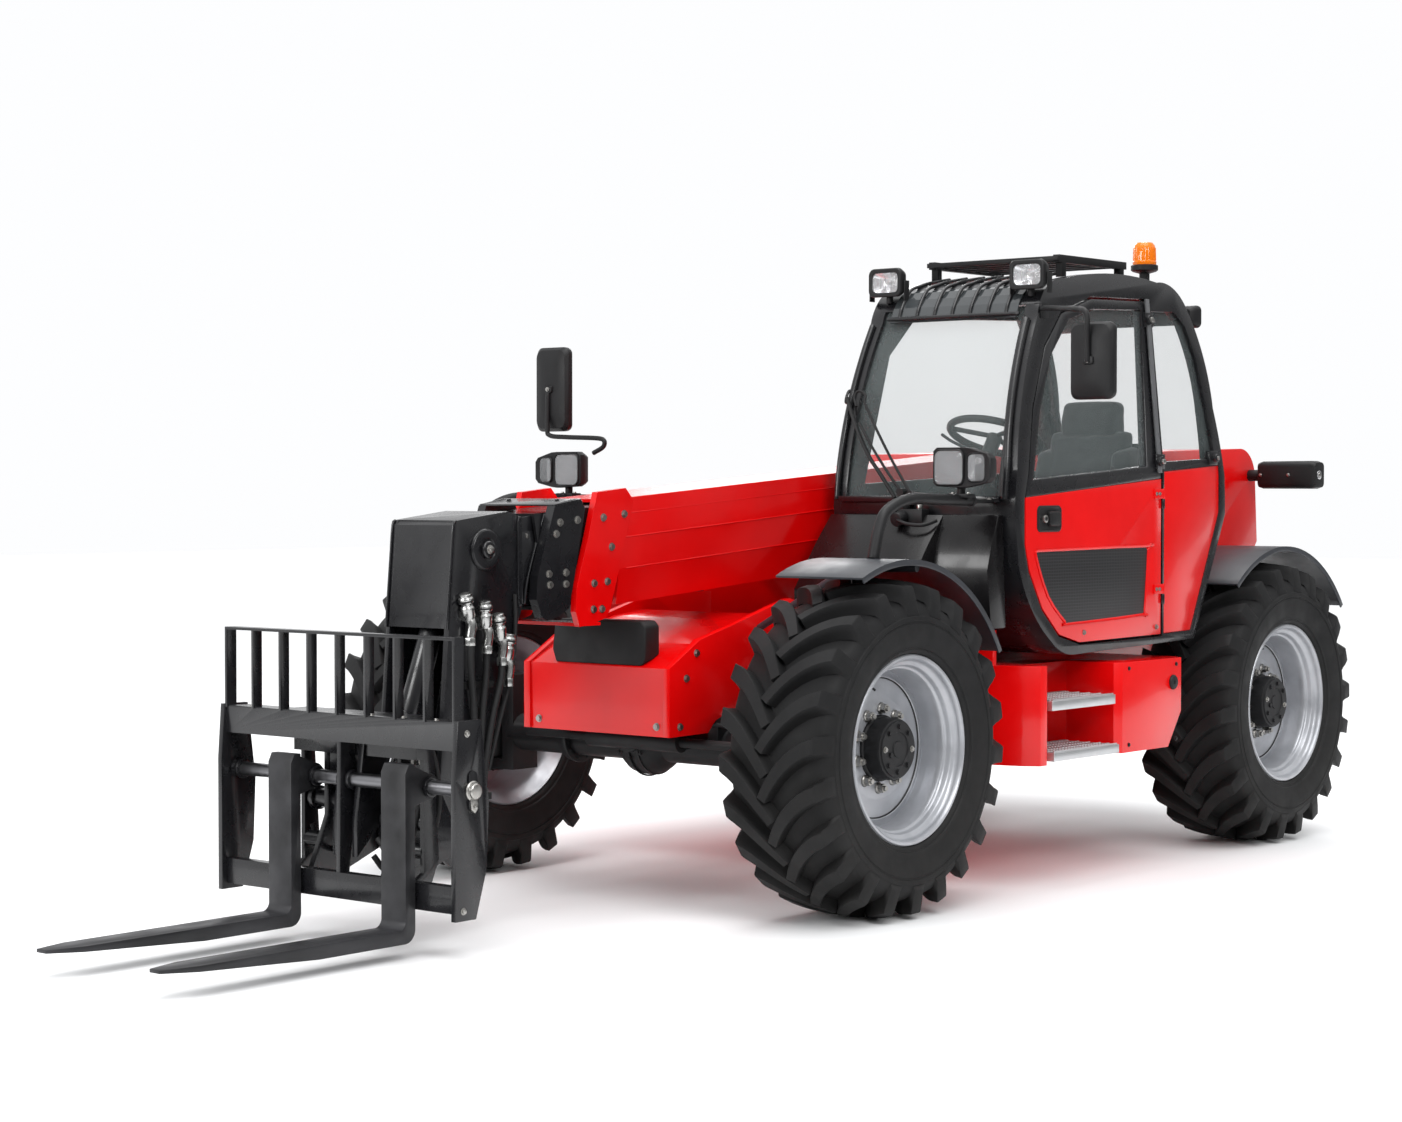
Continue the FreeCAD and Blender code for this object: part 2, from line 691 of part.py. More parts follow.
def boom_outer():
    tube = boom_tube(0, -150, BOOM_OUTER_END)
    pin = cross_pin(0, 0, -TOWER_Y1, TOWER_Y1, PIVOT_PIN_R)
    tube = boom_place(fuse([tube, cross_pin(0, 0, -203, 203, 80), pin]))
    tube = tube.cut(boom_place(along(boom_section(BOOM_WALL), 300, 500)))
    collar = flat_collar([(1982, 1529), (1826, 1544), (1787, 1504), (1787, 1478), (1909, 1107),
                          (1936, 1071),
                          (1990, 1057), (2076, 1044), (2098, 1099), (2092, 1185), (2033, 1356)],
                         COLLAR_RED_Y, COLLAR_RED_T)
    strap = box(1965, 2078, -COLLAR_RED_Y, COLLAR_RED_Y, 1046, 1058)
    ear = side_plate([(-300, 1290), (-190, 1090), (-140, 1062), (-60, 1062), (-20, 1090), (90, 1265)], 46,
                     70)
    ear = ear.cut(cross_pin(LIFT_EYE[0], LIFT_EYE[1], 40, 80, 36))
    ear = ear.cut(boom_place(along(boom_section(BOOM_WALL / 2), 1000, 2000)))
    return fuse([tube, strap] + collar + both_sides(ear))


def boom_mid():
    shrink = BOOM_WALL + BOOM_GAP
    tube = boom_place(boom_tube(shrink, 520, BOOM_MID_END))
    collar = flat_collar([(2196, 1480), (2060, 1501), (2036, 1470), (2092, 1228), (2122, 1113),
                          (2171, 1087),
                          (2234, 1071), (2262, 1083), (2291, 1148), (2285, 1233)], COLLAR_BLACK_Y,
                          COLLAR_BLACK_T)
    return fuse([tube] + collar)


def boom_inner():
    """Inner section with the gooseneck that carries the fork carriage."""
    shrink = 2 * (BOOM_WALL + BOOM_GAP)
    tube = boom_place(boom_tube(shrink, 620, 4000))
    inside = HEAD_HALF_W - HEAD_PLATE
    cheek = side_plate(
        [(2330, 1440), (2400, 1462), (2650, 1432), (2664, 1415), (2700, 1020), (2735, 560), (2735, 290),
         (2690, 240),
         (2600, 240), (2545, 300), (2500, 560), (2420, 900), (2330, 1120)], inside, HEAD_HALF_W)
    cheek = cheek.cut(cross_pin(CARRIAGE_PIVOT[0], CARRIAGE_PIVOT[1], inside - 5, HEAD_HALF_W + 5, 36))
    front = side_plate([(2645, 1430), (2664, 1415), (2696, 1060), (2676, 1060)], -inside - 1, inside + 1)
    top = side_plate([(2330, 1425), (2330, 1440), (2400, 1462), (2650, 1432), (2645, 1415)], -inside - 1,
                     inside + 1)
    back = side_plate([(2330, 1120), (2345, 1130), (2432, 905), (2515, 560), (2500, 560), (2420, 900)],
                      -inside - 1, inside + 1)
    boss = both_sides(cross_pin(TILT_BASE[0], TILT_BASE[1], 50, HEAD_HALF_W + 14, 70))
    head = fuse([tube, front, top, back] + both_sides(cheek) + boss)
    return head.cut(cross_pin(TILT_BASE[0], TILT_BASE[1], -200, 200, 31))


# ---------------------------------------------------------------- carriage and forks
def fork_carriage():
    width = CARRIAGE_HALF_W
    upper = box(2990, 3070, -width, width, 690, 785)
    lower = box(3030, 3070, -width, width, 160, 248)
    end = side_plate([(2975, 790), (3080, 790), (3094, 600), (3094, 140), (3000, 140), (2950, 300),
                      (2940, 520)],
                     width, width + END_PLATE)
    centre = side_plate([(3000, 780), (3060, 780), (3068, 200), (3030, 200), (2990, 500)], -9, 9)
    guard_top = box(3034, 3078, -width, width, 1050, 1060)
    guard_bars = [box(3036, 3076, y - 5, y + 5, 780, 1055) for y in range(-423, 424, 141)]
    guard_ends = both_sides(box(3034, 3078, width - 10, width, 780, 1060))
    hanger = side_plate([(2915, 700), (2960, 700), (2960, 260), (3035, 215), (3035, 165), (2950, 165),
                         (2890, 300)],
                        285, 303)
    lug = side_plate([(2585, 300), (2640, 268), (2700, 290), (3032, 165), (3032, 240), (2955, 420),
                      (2955, 785),
                      (2920, 785), (2700, 385), (2640, 392), (2585, 360)], 166, 190)
    lug = lug.cut(cross_pin(CARRIAGE_PIVOT[0], CARRIAGE_PIVOT[1], 160, 200, 30))
    pivot = [cross_pin(CARRIAGE_PIVOT[0], CARRIAGE_PIVOT[1], -191, 191, 35)]
    ear = side_plate([(3000, 700), (2990, 740), (2860, 560), (2775, 550), (2775, 490), (2860, 470),
                      (3035, 300),
                      (3035, 420)], 36, 60)
    ear = ear.cut(cross_pin(TILT_EYE[0], TILT_EYE[1], 30, 70, 31))
    tie = box(2930, 2992, -303, 303, 640, 785)
    braces = both_sides(rod((2935, 185, 330), (2935, 290, 330), 28))
    pieces = [upper, lower, centre, guard_top, tie] + both_sides(end) + guard_bars + guard_ends
    pieces += both_sides(hanger) + braces
    carriage = fuse(pieces + both_sides(lug) + both_sides(ear) + pivot)
    return carriage.cut(cross_pin(FORK_SHAFT[0], FORK_SHAFT[1], -700, 700, FORK_SHAFT_R))


def fork_shaft():
    return rod((FORK_SHAFT[0], -600, FORK_SHAFT[1]), (FORK_SHAFT[0], 600, FORK_SHAFT[1]), FORK_SHAFT_R)


def fork(middle):
    heel = 3125
    outline = side_face((3080, 640), [
        ((3110, 640),), ((heel, 610),), ((heel, 125),), ((3135, 106), (3155, FORK_TOP_Z)),
        ((FORK_TIP_X, FORK_TOP_Z),), ((FORK_TIP_X, FORK_TOP_Z - 12),), ((3500, 52),), ((3125, 52),),
        ((3093, 66), (3080, 100),)])
    y0 = middle - FORK_W / 2
    y1 = middle + FORK_W / 2
    blade = across(outline, y0, y1)
    tip = plan_plate([(FORK_TIP_X - 130, y0 - 1), (FORK_TIP_X + 1, y0 - 1), (FORK_TIP_X + 1, y0 + 34)], 0,
                     200)
    other = plan_plate([(FORK_TIP_X - 130, y1 + 1), (FORK_TIP_X + 1, y1 + 1), (FORK_TIP_X + 1, y1 - 34)],
                       0, 200)
    eye = fuse([cross_pin(FORK_SHAFT[0], FORK_SHAFT[1], y0, y1, 44),
                side_plate([(3016, 604), (3085, 632), (3085, 500), (3016, 518)], y0, y1)])
    return cut(fuse([blade, eye]), [tip, other, cross_pin(FORK_SHAFT[0], FORK_SHAFT[1], y0 - 5, y1 + 5,
                                                          FORK_BORE_R)])


# ---------------------------------------------------------------- cylinders
def toward(start, end, distance):
    """The point this far from start on the way to end, in the XZ plane."""
    length = math.hypot(end[0] - start[0], end[1] - start[1])
    return (start[0] + (end[0] - start[0]) * distance / length,
            start[1] + (end[1] - start[1]) * distance / length)


def side_rod(start, end, radius):
    return rod((start[0], 0, start[1]), (end[0], 0, end[1]), radius)


def barrel(base, eye, reach, outer_r, bore_r, eye_r, half_width):
    """Cylinder tube with a base eye and its pin."""
    tube = side_rod(toward(base, eye, 60), toward(base, eye, reach), outer_r)
    tube = tube.cut(side_rod(toward(base, eye, 90), toward(base, eye, reach + 5), bore_r))
    lug = cross_pin(base[0], base[1], -half_width, half_width, eye_r)
    neck = side_rod(base, toward(base, eye, 70), min(eye_r, half_width) * 0.9)
    return fuse([tube, lug, neck])


def piston_rod(base, eye, length, radius, eye_r, half_width):
    stem = side_rod(toward(eye, base, length), eye, radius)
    lug = cross_pin(eye[0], eye[1], -half_width, half_width, eye_r)
    return fuse([stem, lug])


def lift_barrel():
    body = barrel(LIFT_BASE, LIFT_EYE, 1000, 60, 44, 55, 60)
    return fuse([body, cross_pin(LIFT_BASE[0], LIFT_BASE[1], -95, 95, 30)])


def lift_rod():
    return piston_rod(LIFT_BASE, LIFT_EYE, 1010, 36, 50, 40)


def tilt_barrel():
    body = barrel(TILT_BASE, TILT_EYE, 620, 42, 34, 45, 34)
    return fuse([body, cross_pin(TILT_BASE[0], TILT_BASE[1], -170, 170, 30)])


def tilt_rod():
    return piston_rod(TILT_BASE, TILT_EYE, 640, 27, 42, 30)


# ---------------------------------------------------------------- write the parts
def build():
    nodes = {
        "chassis_frame": chassis_frame(),
        "counterweight": counterweight(),
        "tow_hitch": tow_hitch(),
        "front_axle": axle(1),
        "rear_axle": axle(-1),
        "drive_line": drive_line(),
        "engine_block": engine_block(),
        "engine_bay": engine_bay(),
        "engine_hood": engine_hood(),
        "side_box": side_box(),
        "steps": steps(),
        "fenders": group(fenders()),
        "cab_frame": cab_frame(),
        "cab_glass": cab_glass(),
        "cab_quarter_panel": cab_quarter_panel(),
        "cab_cowl": cab_cowl(),
        "roof_guard": roof_guard(),
        "seat": seat(),
        "dashboard": dashboard(),
        "door_panel": door_panel(),
        "door_frame": door_frame(),
        "door_glass": door_glass(),
        "headlights": headlights(),
        "work_lights": work_lights(),
        "mirrors": mirrors(),
        "beacon": beacon(),
        "rear_cowls": rear_cowls(),
        "tail_lights": tail_lights(),
        "boom_rest": boom_rest(),
        "boom_outer": boom_outer(),
        "boom_mid": boom_mid(),
        "boom_inner": boom_inner(),
        "fork_carriage": fork_carriage(),
        "fork_shaft": fork_shaft(),
        "fork_left": fork(FORK_MID_Y[0]),
        "fork_right": fork(FORK_MID_Y[1]),
        "lift_barrel": lift_barrel(),
        "lift_rod": lift_rod(),
        "tilt_barrel": tilt_barrel(),
        "tilt_rod": tilt_rod(),
    }
    corners = {"front_left": (1, 1), "front_right": (1, -1), "rear_left": (-1, 1), "rear_right": (-1, -1)}
    for corner, (end, side) in corners.items():
        nodes[corner + "_knuckle"] = place_wheel(knuckle(), end, side)
        nodes[corner + "_rim"] = place_wheel(rim(), end, side)
        nodes[corner + "_tyre"] = place_wheel(tyre(), end, side)
    for name, neighbours in TRIMMED:
        nodes[name] = cut(nodes[name], [nodes[neighbour] for neighbour in neighbours])
    return nodes


os.makedirs("parts", exist_ok=True)
for name, shape in build().items():
    print(name, len(shape.Solids), shape.isValid(), round(shape.Volume / 1e6, 2))
    shape.exportStep("parts/" + name + ".step")
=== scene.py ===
import json
import math

import bmesh
import bpy
from mathutils import Matrix, Vector

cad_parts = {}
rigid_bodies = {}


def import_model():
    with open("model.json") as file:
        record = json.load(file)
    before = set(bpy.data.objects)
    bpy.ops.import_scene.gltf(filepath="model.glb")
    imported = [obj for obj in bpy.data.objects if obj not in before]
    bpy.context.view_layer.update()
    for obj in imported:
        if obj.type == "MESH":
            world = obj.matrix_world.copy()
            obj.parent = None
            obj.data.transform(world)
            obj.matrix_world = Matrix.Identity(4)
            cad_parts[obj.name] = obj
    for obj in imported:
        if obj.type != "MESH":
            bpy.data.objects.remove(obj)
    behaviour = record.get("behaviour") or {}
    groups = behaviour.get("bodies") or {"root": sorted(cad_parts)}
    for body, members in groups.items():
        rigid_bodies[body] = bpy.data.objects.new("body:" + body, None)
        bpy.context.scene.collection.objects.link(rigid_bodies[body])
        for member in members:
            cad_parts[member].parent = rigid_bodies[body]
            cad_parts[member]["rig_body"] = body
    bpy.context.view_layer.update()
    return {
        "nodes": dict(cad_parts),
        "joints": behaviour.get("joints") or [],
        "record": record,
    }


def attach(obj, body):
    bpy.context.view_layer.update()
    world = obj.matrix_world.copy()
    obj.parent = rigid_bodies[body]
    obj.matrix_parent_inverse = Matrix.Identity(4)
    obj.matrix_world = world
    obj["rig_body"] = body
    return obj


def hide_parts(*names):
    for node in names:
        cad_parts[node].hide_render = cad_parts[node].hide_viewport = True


# Looks of a telehandler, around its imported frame.  Metres, +X forward, +Y to the machine's
# left, +Z up, origin on the ground midway between the axles.

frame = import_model()
scene = bpy.context.scene
JOINTS = {joint["name"]: joint for joint in frame["joints"]}
UP = (0, 0, 1)
LEFT = (0, 1, 0)
AHEAD = (1, 0, 0)
CORNERS = ("front_left", "front_right", "rear_left", "rear_right")


# ---------------------------------------------------------------- camera, light, floor
CAMERA_PLACE = (9.325, 6.821, 1.546)
CAMERA_YAW = math.radians(219.865)
CAMERA_PITCH = math.radians(-1.545)
CAMERA_LENS = 70.07
SENSOR_WIDTH = 36.0
FLOOR_LOW = -45.0
FLOOR_HIGH = (6.6, 5.6)
DIM_ROOM = 0.22
BACK_WALL = (-0.196, -0.981, 0.0)
SUN_AHEAD = (-0.35, -0.45, -1.0)
# name, place, point aimed at, size, power
SOFT_BOXES = (("key", (5.0, 8.0, 6.0), (0.3, 0.3, 1.0), (4.0, 2.0), 230),
    ("front", (10.5, -1.0, 4.0), (1.5, 0.0, 1.0), (3.5, 2.5), 330),
    ("top", (0.0, 0.0, 8.0), (0.0, 0.0, 0.0), (8.0, 3.0), 260),
    ("back", (-7.0, -5.0, 5.0), (-0.5, 0.0, 1.0), (4.0, 3.0), 200))


def aimed(name, data, place, ahead):
    """An object at a place that looks along a direction."""
    made = bpy.data.objects.new(name, data)
    made.location = place
    made.rotation_euler = Vector(ahead).to_track_quat("-Z", "Y").to_euler()
    scene.collection.objects.link(made)
    return made


def set_camera():
    data = bpy.data.cameras.new("camera")
    data.lens = CAMERA_LENS
    data.sensor_width = SENSOR_WIDTH
    level = math.cos(CAMERA_PITCH)
    ahead = (level * math.cos(CAMERA_YAW), level * math.sin(CAMERA_YAW), math.sin(CAMERA_PITCH))
    scene.camera = aimed("camera", data, CAMERA_PLACE, ahead)


def studio_world():
    """Bright ceiling and back wall, a darker room in front."""
    world = bpy.data.worlds.new("studio")
    world.use_nodes = True
    sky = world.node_tree.nodes["Background"]
    sky.inputs["Color"].default_value = (0.985, 0.99, 1.0, 1.0)
    place = node(world, "ShaderNodeTexCoord").outputs["Generated"]
    split = node(world, "ShaderNodeSeparateXYZ")
    link(world, place, split.inputs["Vector"])
    wall = node(world, "ShaderNodeVectorMath", {1: BACK_WALL}, operation="DOT_PRODUCT")
    link(world, place, wall.inputs[0])
    most = node(world, "ShaderNodeMath", operation="MAXIMUM")
    for i, (value, start, stop) in enumerate(((split.outputs["Z"], 0.1, 0.5),
            (wall.outputs["Value"], 0.15, 0.58))):
        link(world, spread_value(world, value, DIM_ROOM, 1.0, start, stop, "SMOOTHSTEP"), most.inputs[i])
    link(world, most.outputs[0], sky.inputs["Strength"])
    scene.world = world


def set_lights():
    studio_world()
    data = bpy.data.lights.new("overcast", "SUN")
    data.energy = 1.15
    data.angle = math.radians(35)
    aimed("overcast", data, (0, 0, 0), SUN_AHEAD)
    for name, place, aim, size, power in SOFT_BOXES:
        data = bpy.data.lights.new(name, "AREA")
        data.shape = "RECTANGLE"
        data.size, data.size_y = size
        data.energy = power
        aimed(name, data, place, Vector(aim) - Vector(place))


def set_floor():
    made = shader("floor_paint", (0.86, 0.865, 0.87), 0.6, extra={"Specular IOR Level": 0.25})
    vary_rough(made, noise(made, 0.8), 0.55, 0.7)
    mesh = bpy.data.meshes.new("floor")
    corners = [(FLOOR_LOW, FLOOR_LOW, 0), (FLOOR_HIGH[0], FLOOR_LOW, 0), (*FLOOR_HIGH, 0),
        (FLOOR_LOW, FLOOR_HIGH[1], 0)]
    mesh.from_pydata(corners, [], [(0, 1, 2, 3)])
    mesh.materials.append(made)
    floor = bpy.data.objects.new("floor", mesh)
    scene.collection.objects.link(floor)


# ---------------------------------------------------------------- materials
def set_values(made, values):
    for name, value in values.items():
        made.inputs[name].default_value = value


def surface(material):
    return material.node_tree.nodes["Principled BSDF"]


def shader(name, colour, rough, metal=0.0, coat=0.0, ior=1.5, extra=()):
    material = bpy.data.materials.new(name)
    material.use_nodes = True
    set_values(surface(material), {"Base Color": (*colour, 1.0), "Roughness": rough, "Metallic": metal,
        "IOR": ior, "Coat Weight": coat, "Coat Roughness": 0.06, **dict(extra)})
    return material


def node(owner, kind, values=(), **settings):
    made = owner.node_tree.nodes.new(kind)
    for key, value in settings.items():
        setattr(made, key, value)
    set_values(made, dict(values))
    return made


def link(owner, source, target):
    owner.node_tree.links.new(source, target)


def pattern(material, kind, values, **settings):
    """A texture over the object's own coordinates."""
    made = node(material, kind, values, **settings)
    link(material, node(material, "ShaderNodeTexCoord").outputs["Object"], made.inputs["Vector"])
    return made


def noise(material, scale, detail=4.0, stretch=(1, 1, 1)):
    spread = pattern(material, "ShaderNodeMapping", {"Scale": stretch})
    grain = node(material, "ShaderNodeTexNoise", {"Scale": scale, "Detail": detail})
    link(material, spread.outputs["Vector"], grain.inputs["Vector"])
    return grain.outputs["Fac"]


def spread_value(owner, value, low, high, start=0.3, stop=0.7, blend="LINEAR"):
    """Map a value from start to stop onto low to high."""
    mapped = node(owner, "ShaderNodeMapRange", {"From Min": start, "From Max": stop, "To Min": low,
        "To Max": high}, interpolation_type=blend)
    link(owner, value, mapped.inputs["Value"])
    return mapped.outputs["Result"]


def vary_colour(material, value, dark, light, start=0.35, stop=0.65):
    ramp = node(material, "ShaderNodeValToRGB")
    for element, position, colour in zip(ramp.color_ramp.elements, (start, stop), (dark, light)):
        element.position = position
        element.color = (*colour, 1.0)
    link(material, value, ramp.inputs["Fac"])
    link(material, ramp.outputs["Color"], surface(material).inputs["Base Color"])


def vary_rough(material, value, low, high):
    link(material, spread_value(material, value, low, high), surface(material).inputs["Roughness"])


def bump(material, height, strength, distance):
    made = node(material, "ShaderNodeBump", {"Strength": strength, "Distance": distance})
    link(material, height, made.inputs["Height"])
    link(material, made.outputs["Normal"], surface(material).inputs["Normal"])


def painted(name, dark, light, rough, grain, coat=0.0, specular=0.5, peel=0.05):
    """Paint or plastic: cloudy colour, uneven shine and a fine surface grain."""
    made = shader(name, light, rough[0], coat=coat, extra={"Specular IOR Level": specular})
    vary_colour(made, noise(made, 3.0, 5.0), dark, light)
    vary_rough(made, noise(made, 12.0, 6.0), *rough)
    bump(made, noise(made, grain, 2.0), peel, 0.0005)
    return made


def lighten_low(material, low_colour, height, amount):
    """A patchy film of a lighter, brownish colour, stronger towards the ground."""
    colour = surface(material).inputs["Base Color"]
    before = colour.links[0].from_socket
    split = node(material, "ShaderNodeSeparateXYZ")
    link(material, node(material, "ShaderNodeNewGeometry").outputs["Position"], split.inputs["Vector"])
    patchy = node(material, "ShaderNodeMath", operation="MULTIPLY")
    link(material, spread_value(material, split.outputs["Z"], amount, 0.0, 0.0, height), patchy.inputs[0])
    link(material, spread_value(material, noise(material, 11.0, 8.0), 0.2, 1.0), patchy.inputs[1])
    mixed = node(material, "ShaderNodeMix", {7: (*low_colour, 1.0)}, data_type="RGBA")
    link(material, patchy.outputs[0], mixed.inputs[0])
    link(material, before, mixed.inputs[6])
    link(material, mixed.outputs[2], colour)
    return material


def fork_steel():
    made = shader("fork_steel", (0.016, 0.016, 0.018), 0.42, metal=0.2, extra={"Specular IOR Level": 0.4})
    vary_colour(made, noise(made, 7.0, 8.0, (0.3, 1, 1)), (0.01, 0.01, 0.011), (0.03, 0.03, 0.033))
    vary_rough(made, noise(made, 22.0, 8.0, (0.3, 1, 1)), 0.32, 0.55)
    bump(made, noise(made, 150.0, 5.0), 0.12, 0.0008)
    return made


def rim_silver():
    made = shader("rim_silver", (0.4, 0.41, 0.435), 0.34, metal=0.45, coat=0.2)
    vary_colour(made, noise(made, 9.0, 5.0), (0.36, 0.37, 0.395), (0.44, 0.45, 0.475))
    vary_rough(made, noise(made, 30.0, 6.0), 0.28, 0.42)
    bump(made, noise(made, 380.0, 3.0), 0.06, 0.0005)
    return made


def bare_metal(name, colour, low, high):
    made = shader(name, colour, low, metal=1.0)
    vary_rough(made, noise(made, 60.0, 6.0, (1, 1, 0.15)), low, high)
    bump(made, noise(made, 300.0, 4.0), 0.05, 0.0004)
    return made


def window_glass():
    made = shader("tinted_glass", (0.34, 0.4, 0.4), 0.02, extra={"Alpha": 0.1})
    vary_colour(made, noise(made, 2.0), (0.32, 0.38, 0.38), (0.36, 0.42, 0.42))
    vary_rough(made, noise(made, 1.5), 0.006, 0.02)
    return made


def lens(name, colour, alpha):
    made = shader(name, colour, 0.05, ior=1.49, extra={"Alpha": alpha})
    bump(made, pattern(made, "ShaderNodeTexWave", {"Scale": 60.0}).outputs["Fac"], 0.25, 0.001)
    return made


def fabric():
    made = shader("seat_fabric", (0.03, 0.032, 0.033), 0.85, extra={"Sheen Weight": 0.25})
    bump(made, pattern(made, "ShaderNodeTexVoronoi", {"Scale": 420.0}).outputs["Distance"], 0.15, 0.0006)
    vary_colour(made, noise(made, 25.0, 6.0), (0.024, 0.026, 0.027), (0.036, 0.039, 0.04))
    return made


def wire_mesh():
    """Fine woven wire: bright crossings over dark gaps."""
    made = shader("wire_mesh", (0.02, 0.02, 0.022), 0.5, metal=0.3)
    cells = pattern(made, "ShaderNodeTexVoronoi", {"Scale": 82.0, "Randomness": 0.0},
        feature="DISTANCE_TO_EDGE")
    vary_colour(made, cells.outputs["Distance"], (0.03, 0.03, 0.032), (0.003, 0.003, 0.003), 0.12, 0.2)
    bump(made, cells.outputs["Distance"], 0.6, 0.001)
    return made


M = {"red": painted("red_paint", (0.68, 0.001, 0.0014), (0.76, 0.0014, 0.0018), (0.2, 0.27), 40.0, 0.25, 0.34,
    0.012), "black": painted("black_paint", (0.006, 0.006, 0.0072), (0.0085, 0.0085, 0.01), (0.22, 0.34),
    60.0, 0.2, 0.45, 0.02), "fork": fork_steel(), "grey": painted("grey_plastic", (0.024, 0.026, 0.031),
    (0.032, 0.035, 0.042), (0.34, 0.46), 500.0), "plastic": painted("black_plastic", (0.006, 0.006, 0.0065),
    (0.01, 0.01, 0.011), (0.42, 0.58), 900.0, 0.0, 0.32, 0.2),
    # The tyre rubber is mixed with a lighter brownish colour, patchy and stronger towards the ground.
    "tyre": lighten_low(painted("tyre_rubber", (0.005, 0.005, 0.0054), (0.009, 0.009, 0.0094), (0.56, 0.76), 120.0,
    0.0, 0.26, 0.25), (0.045, 0.041, 0.036), 0.9, 0.18), "rubber": painted("soft_rubber",
    (0.006, 0.006, 0.0065), (0.009, 0.009, 0.0095), (0.5, 0.68), 400.0, 0.0, 0.35, 0.15), "rim": rim_silver(),
    "chrome": bare_metal("chrome", (0.78, 0.78, 0.8), 0.08, 0.18),
    "shaft": bare_metal("shaft_steel", (0.2, 0.2, 0.21), 0.28, 0.4),
    "zinc": bare_metal("zinc_bolts", (0.4, 0.39, 0.37), 0.25, 0.42),
    "coupler": bare_metal("coupler_steel", (0.46, 0.46, 0.45), 0.14, 0.34),
    "aluminium": bare_metal("step_aluminium", (0.62, 0.63, 0.64), 0.32, 0.48),
    "reflector": bare_metal("lamp_reflector", (0.86, 0.86, 0.88), 0.1, 0.24),
    "mirror": bare_metal("mirror_face", (0.88, 0.9, 0.92), 0.02, 0.03),
    "channel": painted("glass_channel", (0.09, 0.092, 0.096), (0.12, 0.122, 0.128), (0.25, 0.36), 200.0),
    "cowl": painted("cowl_black", (0.0035, 0.003, 0.0035), (0.006, 0.0055, 0.006), (0.2, 0.32), 60.0, 0.1,
    0.3, 0.06), "glass": window_glass(), "clear": lens("clear_lens", (0.78, 0.8, 0.82), 0.18),
    "amber": lens("amber_lens", (0.95, 0.21, 0.002), 0.92), "red_lens": lens("red_lens", (0.6, 0.006, 0.006),
    0.85), "fabric": fabric(), "mesh": wire_mesh(), "roof": painted("roof_glass", (0.03, 0.034, 0.036),
    (0.045, 0.05, 0.053), (0.05, 0.1), 30.0, 0.5, 0.6, 0.005),}
LAMP_MATERIALS = ("plastic", "reflector", "clear", "zinc", "amber", "red_lens")


# ---------------------------------------------------------------- mesh helpers
def bake_modifiers(piece):
    evaluated = piece.evaluated_get(bpy.context.evaluated_depsgraph_get())
    mesh = bpy.data.meshes.new_from_object(evaluated)
    piece.modifiers.clear()
    piece.data = mesh


def make_piece(name, bm, body, slot, *materials, bevel=0.0, steps=2, angle=32.0, crease=None):
    """A finished piece from a bmesh: bevelled, smoothed by angle, riding on a body."""
    bmesh.ops.recalc_face_normals(bm, faces=bm.faces)
    mesh = bpy.data.meshes.new(name)
    bm.to_mesh(mesh)
    bm.free()
    for material in materials:
        mesh.materials.append(M[material])
    piece = bpy.data.objects.new(name, mesh)
    scene.collection.objects.link(piece)
    if bevel:
        rounding = piece.modifiers.new("bevel", "BEVEL")
        rounding.width = bevel
        rounding.segments = steps
        rounding.limit_method = "ANGLE"
        rounding.angle_limit = math.radians(angle)
        rounding.harden_normals = False
        bake_modifiers(piece)
    piece.data.shade_smooth()
    piece.data.set_sharp_from_angle(angle=math.radians(crease or angle))
    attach(piece, body)
    return piece


def around(count, radius=1.0, first=0.0):
    """Points evenly spaced on a circle, from the first angle."""
    turns = [first + 2 * math.pi * i / count for i in range(count)]
    return [(radius * math.cos(turn), radius * math.sin(turn)) for turn in turns]


def join_loops(bm, loops, materials):
    """Skin over a row of closed loops, with a face at each end."""
    count = len(loops[0])
    for loop, following, material in zip(loops, loops[1:], materials[1:]):
        for k in range(count):
            after = (k + 1) % count
            bm.faces.new((loop[k], loop[after], following[after], following[k])).material_index = material
    bm.faces.new(loops[0]).material_index = materials[0]
    bm.faces.new(loops[-1]).material_index = materials[-1]


def prism(bm, points, shift, material=0):
    """A polygon of 3-D points, moved by shift to close a solid."""
    first = [bm.verts.new(Vector(point)) for point in points]
    last = [bm.verts.new(Vector(point) + Vector(shift)) for point in points]
    bm.faces.new(first).material_index = material
    bm.faces.new(list(reversed(last))).material_index = material
    for i in range(len(points)):
        after = (i + 1) % len(points)
        bm.faces.new((first[i], last[i], last[after], first[after])).material_index = material


def box(bm, low, high, material=0):
    (x0, y0, z0), (x1, y1, z1) = low, high
    prism(bm, [(x0, y0, z0), (x1, y0, z0), (x1, y1, z0), (x0, y1, z0)], (0, 0, z1 - z0), material)


def plate(bm, points, y0, y1, material=0):
    """A polygon of (x, z) points between two values of y."""
    prism(bm, [(x, y0, z) for x, z in points], (0, y1 - y0, 0), material)


def lathe(bm, profile, centre, axis, count=48, material=0, closed=False):
    """Revolve (radius, distance along axis) points about an axis through centre."""
    axis = Vector(axis).normalized()
    side = axis.orthogonal().normalized()
    other = axis.cross(side)
    rings = [[bm.verts.new(Vector(centre) + (side * u + other * v) * radius + axis * along) for radius,
        along in profile] for u, v in around(count)]
    steps = len(profile) if closed else len(profile) - 1
    for ring, following in zip(rings, rings[1:] + rings[:1]):
        for j in range(steps):
            k = (j + 1) % len(profile)
            if profile[j][0] > 1e-6 or profile[k][0] > 1e-6:
                bm.faces.new((ring[j], following[j], following[k], ring[k])).material_index = material
    bmesh.ops.remove_doubles(bm, verts=[v for ring in rings for v in ring], dist=1e-6)


def rod(bm, start, end, radius, count=20, material=0):
    start = Vector(start)
    end = Vector(end)
    length = (end - start).length
    lathe(bm, [(0, 0), (radius, 0), (radius, length), (0, length)], start, end - start, count, material)


